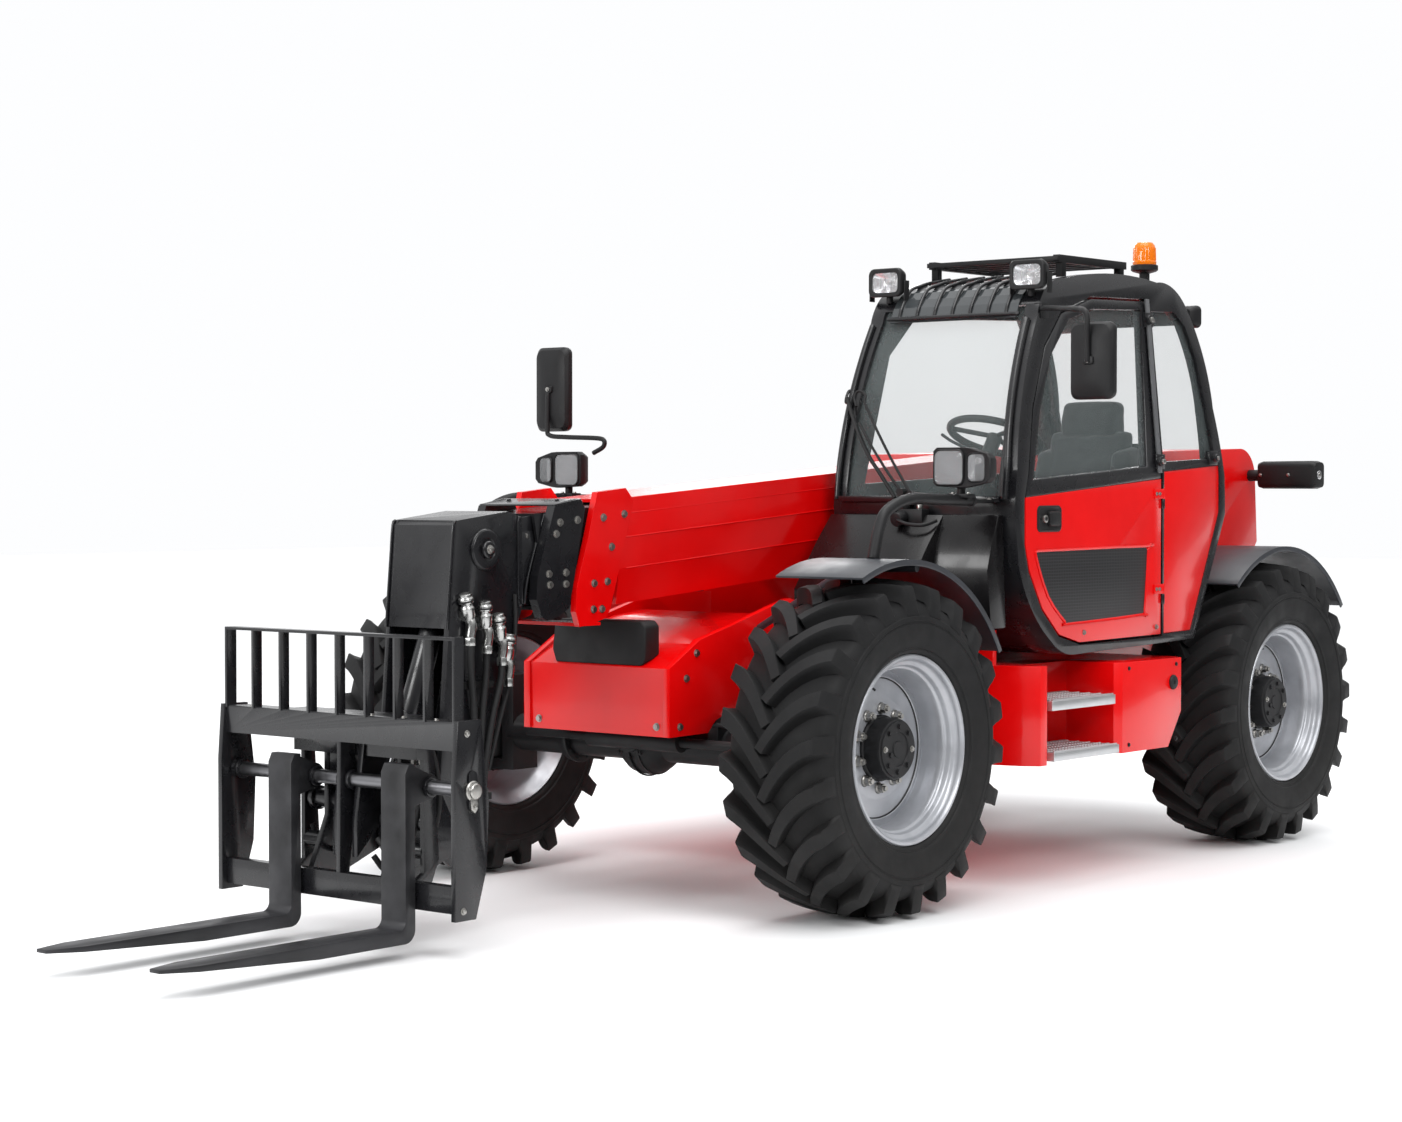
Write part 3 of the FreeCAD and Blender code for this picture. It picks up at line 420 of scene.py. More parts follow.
def tube(bm, points, radius, count=14, material=0, cuts=8):
    """A smooth round bar through points (Catmull-Rom), capped at both ends."""
    points = [Vector(point) for point in points]
    padded = [2 * points[0] - points[1]] + points + [2 * points[-1] - points[-2]]
    path = []
    for a, b, c, d in zip(padded, padded[1:], padded[2:], padded[3:]):
        for i in range(cuts):
            t = i / cuts
            path.append(0.5 * (2 * b + (c - a) * t + (2 * a - 5 * b + 4 * c - d) * t * t
                + (3 * b - a - 3 * c + d) * t ** 3))
    path.append(points[-1])
    side = (path[1] - path[0]).normalized().orthogonal().normalized()
    rings = []
    for i, place in enumerate(path):
        direction = (path[min(i + 1, len(path) - 1)] - path[max(i - 1, 0)]).normalized()
        side = (side - direction * side.dot(direction)).normalized()
        other = direction.cross(side)
        rings.append([bm.verts.new(place + side * u + other * v) for u, v in around(count, radius)])
    join_loops(bm, rings, [material] * len(rings))


def bolt(bm, place, normal, size=0.012, material=0):
    """A hexagon head on a washer, standing on a surface."""
    normal = Vector(normal).normalized()
    place = Vector(place)
    rod(bm, place - normal * 0.001, place + normal * size * 0.18, size * 1.35, 16, material)
    rod(bm, place, place + normal * size * 0.85, size, 6, material)


def loft(bm, centre, facing, rings, materials):
    """Skin over upright rounded rectangles (width, height, radius, distance ahead), closed at
    both ends."""
    up = Vector(UP)
    ahead = Vector(facing).normalized()
    side = up.cross(ahead).normalized()
    loops = [[bm.verts.new(Vector(centre) + side * u + up * v + ahead * distance) for u,
        v in rounded_ring(width, height, radius)] for width, height, radius, distance in rings]
    join_loops(bm, loops, materials)


def rounded_ring(width, height, radius, steps=5):
    """Points of a rounded rectangle about the origin."""
    points = []
    for quarter, (sx, sy) in enumerate(((1, 1), (-1, 1), (-1, -1), (1, -1))):
        for i in range(steps + 1):
            turn = math.pi / 2 * (quarter + i / steps)
            points.append((sx * (width / 2 - radius) + radius * math.cos(turn),
                sy * (height / 2 - radius) + radius * math.sin(turn)))
    return points


def refined(name, material, bevel=0.003, crease=None):
    """The CAD node's own shape with softened edges, standing for it."""
    source = frame["nodes"][name]
    bm = bmesh.new()
    bm.from_mesh(source.data)
    bmesh.ops.remove_doubles(bm, verts=bm.verts, dist=2e-5)
    bmesh.ops.dissolve_limit(bm, angle_limit=math.radians(1.0), verts=bm.verts, edges=bm.edges)
    for face in bm.faces:
        face.material_index = 0
    slot = [part["material_slot"] for part in frame["record"]["subparts"] if part["node"] == name][0]
    piece = make_piece("soft_" + name, bm, source["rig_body"], slot, material, bevel=bevel, crease=crease)
    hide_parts(name)


# ---------------------------------------------------------------- wheels
AXLE_X = 1.405
KINGPIN_Y = 0.89
FORK_X = 3.016
FORK_Z = 0.56
LUGS = 22


def tyre_crown(across):
    """Radius of the lug tops at a distance from the tyre's middle."""
    return 0.61 - 0.022 * (across / 0.2) ** 2


def carcass(across):
    """Radius of the rubber between the lugs."""
    return 0.566 - 0.034 * (across / 0.2) ** 2


def tread_lug(bm, start, side):
    """One bar of the tread, from the middle of the tyre over its shoulder."""
    stations = []
    count = 9
    for i in range(count + 1):
        t = i / count
        across = -0.012 + t * 0.214
        turn = start + 0.33 * (0.35 * t + 0.65 * (1 - (1 - t) ** 2))
        stations.append((turn, across, tyre_crown(across), carcass(across) - 0.008, 0.02 + 0.012 * t))
    last = stations[-1][0]
    stations.append((last + 0.005, 0.2065, 0.583, 0.516, 0.0325))
    stations.append((last + 0.009, 0.216, 0.545, 0.5, 0.034))
    stations.append((last + 0.011, 0.2245, 0.505, 0.484, 0.033))
    rings = []
    for i, (turn, across, top, base, half) in enumerate(stations):
        before = stations[max(i - 1, 0)]
        after = stations[min(i + 1, len(stations) - 1)]
        run = Vector(((after[0] - before[0]) * 0.6, after[1] - before[1]))
        if i >= count:
            run = Vector((0.0, 1.0))
        run.normalize()
        ring = []
        middle = base + 0.55 * (top - base)
        for sign, radius, share in ((-1, base, 1.34), (-1, middle, 1.04), (-1, top - 0.005, 0.96),
                (-1, top, 0.84), (1, top, 0.84), (1, top - 0.005, 0.96), (1, middle, 1.04), (1, base, 1.34)):
            angle = turn + sign * run.y * half * share / 0.6
            y = side * (across - sign * run.x * half * share)
            ring.append(bm.verts.new((radius * math.cos(angle), y, radius * math.sin(angle))))
        rings.append(ring)
    for ring, following in zip(rings, rings[1:]):
        for k in range(7):
            bm.faces.new((ring[k], ring[k + 1], following[k + 1], following[k]))
    bm.faces.new(rings[0])
    bm.faces.new(rings[-1])


def tyre_bmesh():
    bm = bmesh.new()
    half = [(0.337, 0.176), (0.346, 0.2), (0.356, 0.207), (0.362, 0.207), (0.366, 0.213), (0.372, 0.213),
        (0.38, 0.2155), (0.398, 0.2205), (0.43, 0.225), (0.452, 0.2262), (0.4555, 0.2232), (0.46, 0.2232),
        (0.4635, 0.227), (0.478, 0.2268), (0.4815, 0.2235), (0.486, 0.2225), (0.5, 0.217), (0.514, 0.208),
        (0.524, 0.198), (0.532, 0.182), (0.544, 0.15), (0.556, 0.1), (0.5635, 0.05), (0.566, 0.0)]
    profile = half + [(radius, -across) for radius, across in reversed(half[:-1])]
    lathe(bm, profile, (0, 0, 0), LEFT, 160)
    for i in range(LUGS):
        start = 2 * math.pi * i / LUGS
        tread_lug(bm, start, 1)
        tread_lug(bm, start + math.pi / LUGS, -1)
    return bm


def rim_bmesh():
    """Barrel, disc and hub of a left wheel, outer side towards +Y, about its middle."""
    bm = bmesh.new()
    barrel = [(0.335, 0.176), (0.342, 0.186), (0.3425, 0.194), (0.338, 0.2005), (0.33, 0.201),
        (0.3245, 0.196), (0.3225, 0.186), (0.32, 0.176), (0.3145, 0.17), (0.3055, 0.167), (0.3015, 0.162),
        (0.3005, 0.148), (0.2965, 0.142), (0.2905, 0.14), (0.287, 0.134), (0.2855, 0.11), (0.2845, 0.06),
        (0.2845, -0.08), (0.288, -0.12), (0.3, -0.15), (0.318, -0.17), (0.334, -0.196), (0.341, -0.19),
        (0.335, -0.176), (0.308, -0.15), (0.3, -0.11), (0.3, 0.11), (0.312, 0.15)]
    lathe(bm, barrel, (0, 0, 0), LEFT, 112, 0, closed=True)
    disc = [(0.2845, 0.046), (0.262, 0.052), (0.2575, 0.0555), (0.2545, 0.0535), (0.25, 0.05), (0.225, 0.052),
        (0.2, 0.056), (0.188, 0.06), (0.178, 0.0625), (0.112, 0.0625), (0.112, 0.046), (0.178, 0.044),
        (0.225, 0.036), (0.2845, 0.03)]
    lathe(bm, disc, (0, 0, 0), LEFT, 112, 0, closed=True)
    lathe(bm, [(0.25, 0.05), (0.2545, 0.054), (0.2545, 0.0495), (0.25, 0.047)], (0, 0.0008, 0), LEFT, 112, 1,
        closed=True)
    for x, z in around(10, 0.143, math.pi / 10):
        place = Vector((x, 0.0625, z))
        lathe(bm, [(0, 0), (0.022, 0), (0.0215, 0.004), (0.0175, 0.008), (0, 0.008)], place, LEFT, 24, 2)
        rod(bm, place, place + Vector((0, 0.027, 0)), 0.0165, 6, 2)
        rod(bm, place, place + Vector((0, 0.037, 0)), 0.0095, 12, 2)
    hub = [(0.12, 0.055), (0.12, 0.071), (0.1165, 0.075), (0.1125, 0.076), (0.1115, 0.128), (0.108, 0.138),
        (0.102, 0.141), (0.1, 0.147), (0.062, 0.147), (0.06, 0.143), (0.03, 0.143), (0.028, 0.147),
        (0, 0.147)]
    lathe(bm, hub, (0, 0, 0), LEFT, 64, 1)
    for i, (x, z) in enumerate(around(8, 0.081)):
        bolt(bm, (x, 0.147, z), LEFT, 0.0085, 2 if i % 4 == 0 else 1)
    plug = Vector((0.045, 0.143, -0.02))
    rod(bm, plug, plug + Vector((0, 0.009, 0)), 0.01, 6, 1)
    valve = Vector((0.286 * math.cos(1.0), 0.1, 0.286 * math.sin(1.0)))
    rod(bm, valve, valve + Vector((-0.02, 0.035, -0.03)), 0.004, 8, 1)
    return bm


def build_wheels():
    for corner in CORNERS:
        spin = JOINTS[corner + "_spin"]
        x, y, z = spin["pos_m"]
        side = 1 if y > 0 else -1
        turn = {"front_left": 0.05, "front_right": 0.4, "rear_left": 0.2, "rear_right": 0.9}[corner]
        move = Matrix.Translation((x, y, z)) @ Matrix.Scale(side, 4, LEFT) @ Matrix.Rotation(-turn, 4, "Y")
        body = corner + "_wheel"
        for kind, make, materials, slot in (("tyre", tyre_bmesh, ("tyre",), "tyre"),
                ("rim", rim_bmesh, ("rim", "plastic", "zinc"), "rim_silver")):
            bm = make()
            bmesh.ops.transform(bm, matrix=move, verts=bm.verts)
            piece = make_piece(corner + "_" + kind + "_detail", bm, body, slot, *materials, angle=38.0)
            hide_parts(corner + "_" + kind)


# ---------------------------------------------------------------- CAD nodes with softened edges
FOLD_ANGLE = 4.0


def build_refined():
    for name, material, bevel in (("chassis_frame", "red", 0.003), ("counterweight", "black", 0.012),
            ("tow_hitch", "black", 0.002), ("front_axle", "plastic", 0.004), ("rear_axle", "plastic", 0.004),
            ("drive_line", "plastic", 0.004), ("engine_block", "plastic", 0.006),
            ("engine_bay", "red", 0.003), ("engine_hood", "red", 0.006), ("side_box", "red", 0.004),
            ("steps", "aluminium", 0.002), ("fenders", "grey", 0.0015), ("cab_frame", "black", 0.006),
            ("cab_quarter_panel", "red", 0.004), ("cab_cowl", "cowl", 0.012),
            ("roof_guard", "plastic", 0.002), ("dashboard", "plastic", 0.006), ("door_panel", "red", 0.005),
            ("door_frame", "black", 0.005), ("rear_cowls", "red", 0.008), ("boom_rest", "rubber", 0.024),
            ("boom_outer", "red", 0.003), ("boom_mid", "black", 0.003), ("boom_inner", "black", 0.003),
            ("fork_carriage", "black", 0.0015), ("fork_shaft", "shaft", 0.002), ("fork_left", "fork", 0.002),
            ("fork_right", "fork", 0.002), ("lift_barrel", "black", 0.002), ("lift_rod", "chrome", 0.001),
            ("tilt_barrel", "black", 0.002), ("tilt_rod", "chrome", 0.001)):
        refined(name, material, bevel, FOLD_ANGLE if name in ("boom_outer", "boom_mid") else None)
    for corner in CORNERS:
        refined(corner + "_knuckle", "plastic", 0.004)
    for name in ("cab_glass", "door_glass"):
        frame["nodes"][name].data.materials.clear()
        frame["nodes"][name].data.materials.append(M["glass"])


# ---------------------------------------------------------------- lamps and mirrors
def lamp_head(bm, centre, facing, width, height, depth, lens=2, rim=0.01):
    """Lamp head: housing 0, reflector 1, lens as given, bulb 3."""
    corner = 0.22 * height
    inner_w = width - 2 * rim
    inner_h = height - 2 * rim
    loft(bm, centre, facing, [(width * 0.55, height * 0.55, corner * 0.5, -depth),
        (width * 0.86, height * 0.84, corner, -depth * 0.72), (width, height, corner, -depth * 0.25),
        (width, height, corner, -0.006), (width - 0.006, height - 0.006, corner * 0.95, 0.0),
        (inner_w, inner_h, corner * 0.85, -0.001), (inner_w, inner_h, corner * 0.85, -0.008),
        (inner_w * 0.96, inner_h * 0.96, corner * 0.8, -0.01),
        (inner_w * 0.66, inner_h * 0.66, corner * 0.7, -depth * 0.4), (0.034, 0.034, 0.014, -depth * 0.52)],
        [0, 0, 0, 0, 0, 0, 0, 0, 1, 1])
    ahead = Vector(facing).normalized()
    loft(bm, Vector(centre) - ahead * 0.007, facing, [(inner_w, inner_h, corner * 0.84, 0.0),
        (inner_w - 0.004, inner_h - 0.004, corner * 0.8, 0.004),
        (inner_w * 0.6, inner_h * 0.6, corner * 0.7, 0.008)], [lens, lens, lens])
    rod(bm, Vector(centre) - ahead * depth * 0.52, Vector(centre) - ahead * depth * 0.25, 0.009, 12, 3)
    across = Vector(UP).cross(ahead).normalized()
    for share in (-0.3, -0.18, 0.18, 0.3):
        foot = Vector(centre) - ahead * depth * 0.36 + across * share * inner_w
        rod(bm, foot - Vector((0, 0, inner_h * 0.26)), foot + Vector((0, 0, inner_h * 0.26)), 0.0022, 6, 3)


def outline_shell(bm, centre, facing, outline, rings):
    """Skin over a (across, up) outline, scaled and moved ahead ring by ring."""
    ahead = Vector(facing).normalized()
    side = Vector(UP).cross(ahead).normalized()
    loops = [[bm.verts.new(Vector(centre) + side * u * scale + Vector((0, 0,
        v * scale)) + ahead * distance) for u, v in outline] for scale, distance in rings]
    join_loops(bm, loops, [0] * len(rings))


def build_headlights():
    shape = [(-0.128, 0.062), (-0.112, 0.076), (0.01, 0.076), (0.04, 0.074), (0.118, 0.052), (0.132, 0.034),
        (0.132, -0.038), (0.116, -0.056), (0.036, -0.073), (0.006, -0.076), (-0.112, -0.07), (-0.128, -0.056)]
    for side, name in ((1, "left"), (-1, "right")):
        outline = shape if side > 0 else [(-u, v) for u, v in reversed(shape)]
        bm = bmesh.new()
        outline_shell(bm, (0.872, side * 1.026, 1.62), AHEAD, outline,
            [(0.6, -0.092), (0.86, -0.07), (1.0, -0.03), (1.0, -0.004), (0.97, 0.0), (0.9, -0.002)])
        lamp_head(bm, (0.88, side * 0.973, 1.621), AHEAD, 0.14, 0.138, 0.06, 2, 0.005)
        lamp_head(bm, (0.876, side * 1.098, 1.62), (1, side * 0.12, 0), 0.086, 0.112, 0.05, 2, 0.005)
        rod(bm, (0.845, side * 1.106, 1.59), (0.845, side * 1.106, 1.65), 0.013, 14, 4)
        rod(bm, (0.83, side * 1.0, 1.505), (0.83, side * 1.0, 1.55), 0.016, 16)
        box(bm, (0.805, side * 1.0 - 0.045, 1.508), (0.86, side * 1.0 + 0.045, 1.522))
        for y in (-0.035, 0.035):
            bolt(bm, (0.832, side * 1.0 + y, 1.522), UP, 0.007, 3)
            rod(bm, (0.832, side * 1.0 + y, 1.5), (0.832, side * 1.0 + y, 1.508), 0.01, 12)
        tube(bm, [(1.388, side * 1.0, 1.288), (1.35, side * 1.0, 1.4), (1.3, side * 1.0, 1.462),
            (1.161, side * 1.0, 1.503), (0.95, side * 1.0, 1.5), (0.776, side * 1.0, 1.498)], 0.0215)
        if side > 0:
            box(bm, (0.614, 0.985, 1.488), (0.79, 1.015, 1.5))
            rod(bm, (0.776, 1.0, 1.498), (0.762, 1.0, 1.498), 0.024, 20)
            bolt(bm, (0.64, 1.0, 1.5), UP, 0.008, 3)
        else:
            tube(bm, [(0.8, -1.0, 1.498), (0.775, -0.88, 1.49), (0.77, -0.7, 1.44), (0.77, -0.5, 1.3),
                (0.77, -0.385, 1.205)], 0.0205)
            plate(bm, [(0.702, 1.052), (0.798, 1.182), (0.798, 1.24), (0.702, 1.338)], -0.384, -0.366)
            for x, z in ((0.725, 1.13), (0.725, 1.28)):
                bolt(bm, (x, -0.385, z), (0, -1, 0), 0.01, 3)
        piece = make_piece("headlight_" + name, bm, "chassis", "lamp", *LAMP_MATERIALS, bevel=0.0015)
        if side > 0:
            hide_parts("headlights")


def build_work_lights():
    bm = bmesh.new()
    for y in (0.306, 0.985):
        lamp_head(bm, (0.368, y, 2.372), (1, 0, -0.08), 0.162, 0.116, 0.074, 2, 0.017)
        rod(bm, (0.33, y, 2.29), (0.33, y, 2.325), 0.014, 12)
        plate(bm, [(0.318, 2.3), (0.35, 2.3), (0.35, 2.38), (0.318, 2.38)], y - 0.088, y - 0.083)
        plate(bm, [(0.318, 2.3), (0.35, 2.3), (0.35, 2.38), (0.318, 2.38)], y + 0.083, y + 0.088)
    for y in (0.33, 0.95):
        lamp_head(bm, (-0.958, y, 2.27), (-1, 0, -0.1), 0.115, 0.095, 0.06)
        rod(bm, (-0.915, y, 2.27), (-0.865, y, 2.255), 0.014, 12)
    piece = make_piece("work_lamp_heads", bm, "chassis", "lamp", *LAMP_MATERIALS, bevel=0.002)
    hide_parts("work_lights")


def build_beacon():
    bm = bmesh.new()
    x, y = -0.9, 0.76
    lathe(bm, [(0, 2.36), (0.022, 2.36), (0.022, 2.462), (0.05, 2.47), (0.058, 2.476), (0.058, 2.496),
        (0.05, 2.5), (0, 2.5)], (x, y, 0), UP, 40, 0)
    dome = [(0, 2.5), (0.05, 2.5), (0.0515, 2.512), (0.048, 2.516), (0.0475, 2.56), (0.044, 2.582),
        (0.034, 2.594), (0, 2.598)]
    lathe(bm, dome, (x, y, 0), UP, 40, 1)
    lathe(bm, [(0, 2.502), (0.02, 2.502), (0.02, 2.56), (0, 2.565)], (x, y, 0), UP, 24, 2)
    for u, v in around(20, 0.0478):
        rod(bm, (x + u, y + v, 2.518), (x + u * 0.96, y + v * 0.96, 2.572), 0.0022, 6, 1)
    piece = make_piece("beacon_lamp", bm, "chassis", "amber", "plastic", "amber", "reflector")
    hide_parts("beacon")


def build_tail_lights():
    for side, name in ((1, "left"), (-1, "right")):
        bm = bmesh.new()
        loft(bm, (-1.8, side * 0.985, 1.602), (0, side, 0), [(0.08, 0.11, 0.02, -0.144),
            (0.098, 0.124, 0.024, -0.12), (0.1, 0.125, 0.024, 0.12), (0.084, 0.11, 0.02, 0.144)], [0] * 5)
        rod(bm, (-1.8, side * 0.776, 1.6), (-1.8, side * 0.85, 1.6), 0.026, 20)
        lamp_head(bm, (-1.853, side * 0.935, 1.602), (-1, 0, 0), 0.115, 0.095, 0.016, 5)
        lamp_head(bm, (-1.853, side * 1.055, 1.602), (-1, 0, 0), 0.09, 0.095, 0.016, 4)
        rod(bm, (-1.795, side * 1.126, 1.602), (-1.795, side * 1.131, 1.602), 0.02, 24, 1)
        rod(bm, (-1.795, side * 1.13, 1.602), (-1.795, side * 1.1335, 1.602), 0.01, 12, 3)
        for y in (0.862, 1.0):
            bolt(bm, (-1.749, side * y, 1.602), AHEAD, 0.006, 3)
        piece = make_piece("tail_lamp_" + name, bm, "chassis", "lamp", *LAMP_MATERIALS, bevel=0.002)
        if side > 0:
            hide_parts("tail_lights")


def build_mirrors():
    bm = bmesh.new()
    heads = (((0.602, 1.43, 2.017), 0.186, 0.288), ((0.828, -1.0925, 1.961), 0.18, 0.356))
    for centre, width, height in heads:
        loft(bm, centre, AHEAD, [(width - 0.016, height - 0.016, 0.022, -0.022),
            (width - 0.006, height - 0.006, 0.026, -0.026), (width, height, 0.03, -0.018),
            (width, height, 0.03, 0.0), (width * 0.9, height * 0.93, 0.034, 0.016),
            (width * 0.45, height * 0.62, 0.03, 0.027)], [1, 0, 0, 0, 0, 0, 0])
        x, y, z = centre
        loft(bm, (x + 0.022, y, z), AHEAD, [(0.05, 0.034, 0.008, 0.0), (0.044, 0.028, 0.008, 0.014)], [0] * 3)
        bolt(bm, (x + 0.036, y, z), AHEAD, 0.007, 2)
    tube(bm, [(0.33, 1.03, 2.238), (0.4, 1.095, 2.236), (0.5, 1.225, 2.224), (0.6, 1.37, 2.21),
        (0.632, 1.415, 2.2), (0.64, 1.43, 2.172), (0.64, 1.43, 2.1), (0.638, 1.43, 2.01)], 0.0105)
    tube(bm, [(0.83, -0.86, 1.69), (0.83, -0.806, 1.715), (0.832, -0.8, 1.742), (0.838, -0.84, 1.752),
        (0.85, -1.0, 1.758), (0.862, -1.08, 1.766), (0.864, -1.0925, 1.8), (0.86, -1.0925, 1.95)], 0.01)
    box(bm, (0.3, 1.01, 2.205), (0.35, 1.046, 2.262))
    piece = make_piece("mirror_heads", bm, "chassis", "black_paint", "plastic", "mirror", "zinc",
        bevel=0.0015)
    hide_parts("mirrors")


# ---------------------------------------------------------------- cab
def skin_y(z, out=0.0):
    """Left skin of the cab at a height: upright to the knee, then leaning in."""
    return 1.1 + out - 0.1 * max(0.0, z - 1.6)


def front_x(z):
    """Front of the cab at a height."""
    places = ((1.47, 0.618), (1.85, 0.54), (2.21, 0.37))
    total = 0.0
    for i, (za, xa) in enumerate(places):
        share = xa
        for j, (zb, _) in enumerate(places):
            if j != i:
                share *= (z - zb) / (za - zb)
        total += share
    return total


def build_cab_trim():
    bm = bmesh.new()
    for y in (0.385, 0.47, 0.555, 0.64, 0.725, 0.81, 0.895):
        lift = 0.012
        tube(bm, [(front_x(2.215) + 0.01, y, 2.215), (0.352 + lift * 0.6, y, 2.262),
            (0.29 + lift, y, 2.325 + lift), (0.225, y, 2.351 + lift), (0.15, y, 2.368 + lift),
            (0.02, y, 2.388 + lift)], 0.0075, 10)
    tube(bm, [(0.376, 0.33, 2.222), (0.388, 0.5, 2.222), (0.39, 0.64, 2.222), (0.388, 0.8, 2.222),
        (0.376, 0.96, 2.222)], 0.008, 10)
    path = [(z, front_x(z) + 0.01) for z in (1.5, 1.62, 1.74, 1.86, 1.98, 2.1, 2.2)]
    tube(bm, [(x, 1.058 - 0.1 * max(0.0, z - 1.6), z) for z, x in path], 0.016, 12)
    tube(bm, [(x, 0.262, z) for z, x in path], 0.012, 12)
    for z in (1.7, 2.0):
        rod(bm, (front_x(z) - 0.02, 0.262, z), (front_x(z) + 0.01, 0.262, z), 0.008, 10)
    plate(bm, [(0.6, 1.49), (0.64, 1.49), (0.64, 1.512), (0.6, 1.512)], 0.28, 1.04)
    make_piece("cab_guard_bars", bm, "chassis", "black_paint", "black", bevel=0.001)

    bm = bmesh.new()
    profile = [(0.378, 2.205), (0.352, 2.262), (0.325, 2.296), (0.29, 2.326), (0.225, 2.351), (0.15, 2.3685)]
    for (xa, za), (xb, zb) in zip(profile, profile[1:]):
        prism(bm, [(xa, 0.345, za), (xb, 0.345, zb), (xb, 0.945, zb), (xa, 0.945, za)], (0.003, 0, 0.004))
    bmesh.ops.remove_doubles(bm, verts=bm.verts, dist=1e-5)
    make_piece("roof_window", bm, "chassis", "glass", "roof", angle=40.0)

    bm = bmesh.new()
    arms = (((0.64, 0.636, 1.516), (0.572, 0.357, 1.886)), ((0.64, 0.589, 1.526), (0.6, 0.353, 1.802)))
    for low, high in arms:
        low = Vector(low)
        high = Vector(high)
        tube(bm, [low, low.lerp(high, 0.33) + Vector((0.012, 0, 0)),
            low.lerp(high, 0.66) + Vector((0.012, 0, 0)), high], 0.0058, 8)
        rod(bm, low - Vector((0.03, 0, 0)), low + Vector((0.014, 0, 0)), 0.017, 16)
    tube(bm, [(0.572, 0.357, 1.886), (0.556, 0.35, 1.915), (0.548, 0.31, 1.93), (0.556, 0.296, 1.905),
        (0.572, 0.318, 1.868)], 0.0055, 8)
    blade = [(0.646, 0.56, 1.505), (0.636, 0.49, 1.588), (0.622, 0.414, 1.672), (0.6, 0.35, 1.76),
        (0.58, 0.3, 1.84), (0.56, 0.262, 1.905)]
    tube(bm, blade, 0.0075, 8)
    tube(bm, [(x - 0.01, y, z) for x, y, z in blade], 0.004, 6)
    make_piece("wiper", bm, "chassis", "rubber", "rubber")

    bm = bmesh.new()
    box(bm, (0.64, 0.575, 1.405), (0.69, 0.72, 1.462))
    rod(bm, (0.69, 0.63, 1.43), (0.735, 0.63, 1.42), 0.028, 24)
    rod(bm, (0.64, 0.612, 1.462), (0.64, 0.612, 1.516), 0.015, 16)
    rod(bm, (0.66, 0.69, 1.455), (0.66, 0.69, 1.48), 0.012, 12, 1)
    rod(bm, (0.7, 0.59, 1.445), (0.7, 0.59, 1.468), 0.01, 12, 1)
    tube(bm, [(0.73, 0.632, 1.42), (0.745, 0.69, 1.405), (0.735, 0.76, 1.402), (0.7, 0.8, 1.42)], 0.008, 8)
    make_piece("wiper_motor", bm, "chassis", "black_paint", "plastic", "zinc", bevel=0.003)

    bm = bmesh.new()
    tube(bm, [(front_x(1.932) + 0.008, 0.268, 1.932), (front_x(1.93) + 0.022, 0.25, 1.93),
        (front_x(1.888) + 0.022, 0.248, 1.888), (front_x(1.885) + 0.008, 0.266, 1.885)], 0.006, 8)
    make_piece("windscreen_catch", bm, "chassis", "black_paint", "black")

    bm = bmesh.new()
    strip = [(-0.46, 1.605), (-0.432, 1.605), (-0.44, 2.318), (-0.468, 2.318)]
    corners = [(x, skin_y(z, 0.002), z) for x, z in strip]
    prism(bm, corners, (0, 0.01, 0))
    make_piece("door_glass_channel", bm, "door", "black_paint", "channel", bevel=0.003)

    bm = bmesh.new()
    for z in (1.652, 2.232):
        y = skin_y(z)
        box(bm, (-0.49, y - 0.002, z - 0.03), (-0.425, y + 0.01, z + 0.03))
        rod(bm, (-0.444, y, z), (-0.444, y + 0.026, z), 0.021, 24)
        rod(bm, (-0.444, y + 0.024, z), (-0.444, y + 0.034, z), 0.012, 6, 1)
        rod(bm, (-0.478, y, z), (-0.478, y + 0.018, z), 0.01, 16, 1)
    make_piece("window_hinges", bm, "door", "black_paint", "black", "zinc", bevel=0.002)

    bm = bmesh.new()
    y = skin_y(1.67)
    box(bm, (-0.925, y - 0.01, 1.64), (-0.86, y + 0.012, 1.7))
    rod(bm, (-0.893, y, 1.67), (-0.893, y + 0.03, 1.67), 0.018, 20)
    rod(bm, (-0.893, y + 0.028, 1.67), (-0.893, y + 0.036, 1.67), 0.009, 6, 1)
    make_piece("quarter_window_latch", bm, "chassis", "black_paint", "black", "zinc", bevel=0.003)

    bm = bmesh.new()
    loft(bm, (0.375, 1.098, 1.425), LEFT, [(0.172, 0.102, 0.022, -0.004), (0.172, 0.102, 0.022, 0.003),
        (0.16, 0.09, 0.02, 0.006), (0.15, 0.08, 0.018, 0.002)], [0] * 5)
    loft(bm, (0.352, 1.104, 1.425), LEFT, [(0.08, 0.06, 0.012, -0.004), (0.076, 0.056, 0.012, 0.01),
        (0.06, 0.04, 0.01, 0.014)], [0] * 4)
    rod(bm, (0.418, 1.1, 1.425), (0.418, 1.114, 1.425), 0.015, 24, 1)
    rod(bm, (0.418, 1.113, 1.425), (0.418, 1.116, 1.425), 0.008, 12, 0)
    make_piece("door_handle", bm, "door", "black_paint", "plastic", "zinc", bevel=0.0015)

    grille = [(0.463, 1.302), (-0.34, 1.307), (-0.36, 1.29), (-0.334, 1.046), (-0.318, 1.03), (0.235, 1.013),
        (0.262, 1.022), (0.385, 1.125), (0.47, 1.28)]
    bm = bmesh.new()
    plate(bm, grille, 1.0965, 1.1015)
    make_piece("door_grille", bm, "door", "black_paint", "mesh", bevel=0.001)
    bm = bmesh.new()
    ring = [Vector((x, 1.0995, z)) for x, z in grille]
    tube(bm, ring + ring[:1], 0.006, 8, cuts=3)
    make_piece("door_grille_lip", bm, "door", "red_paint", "red")

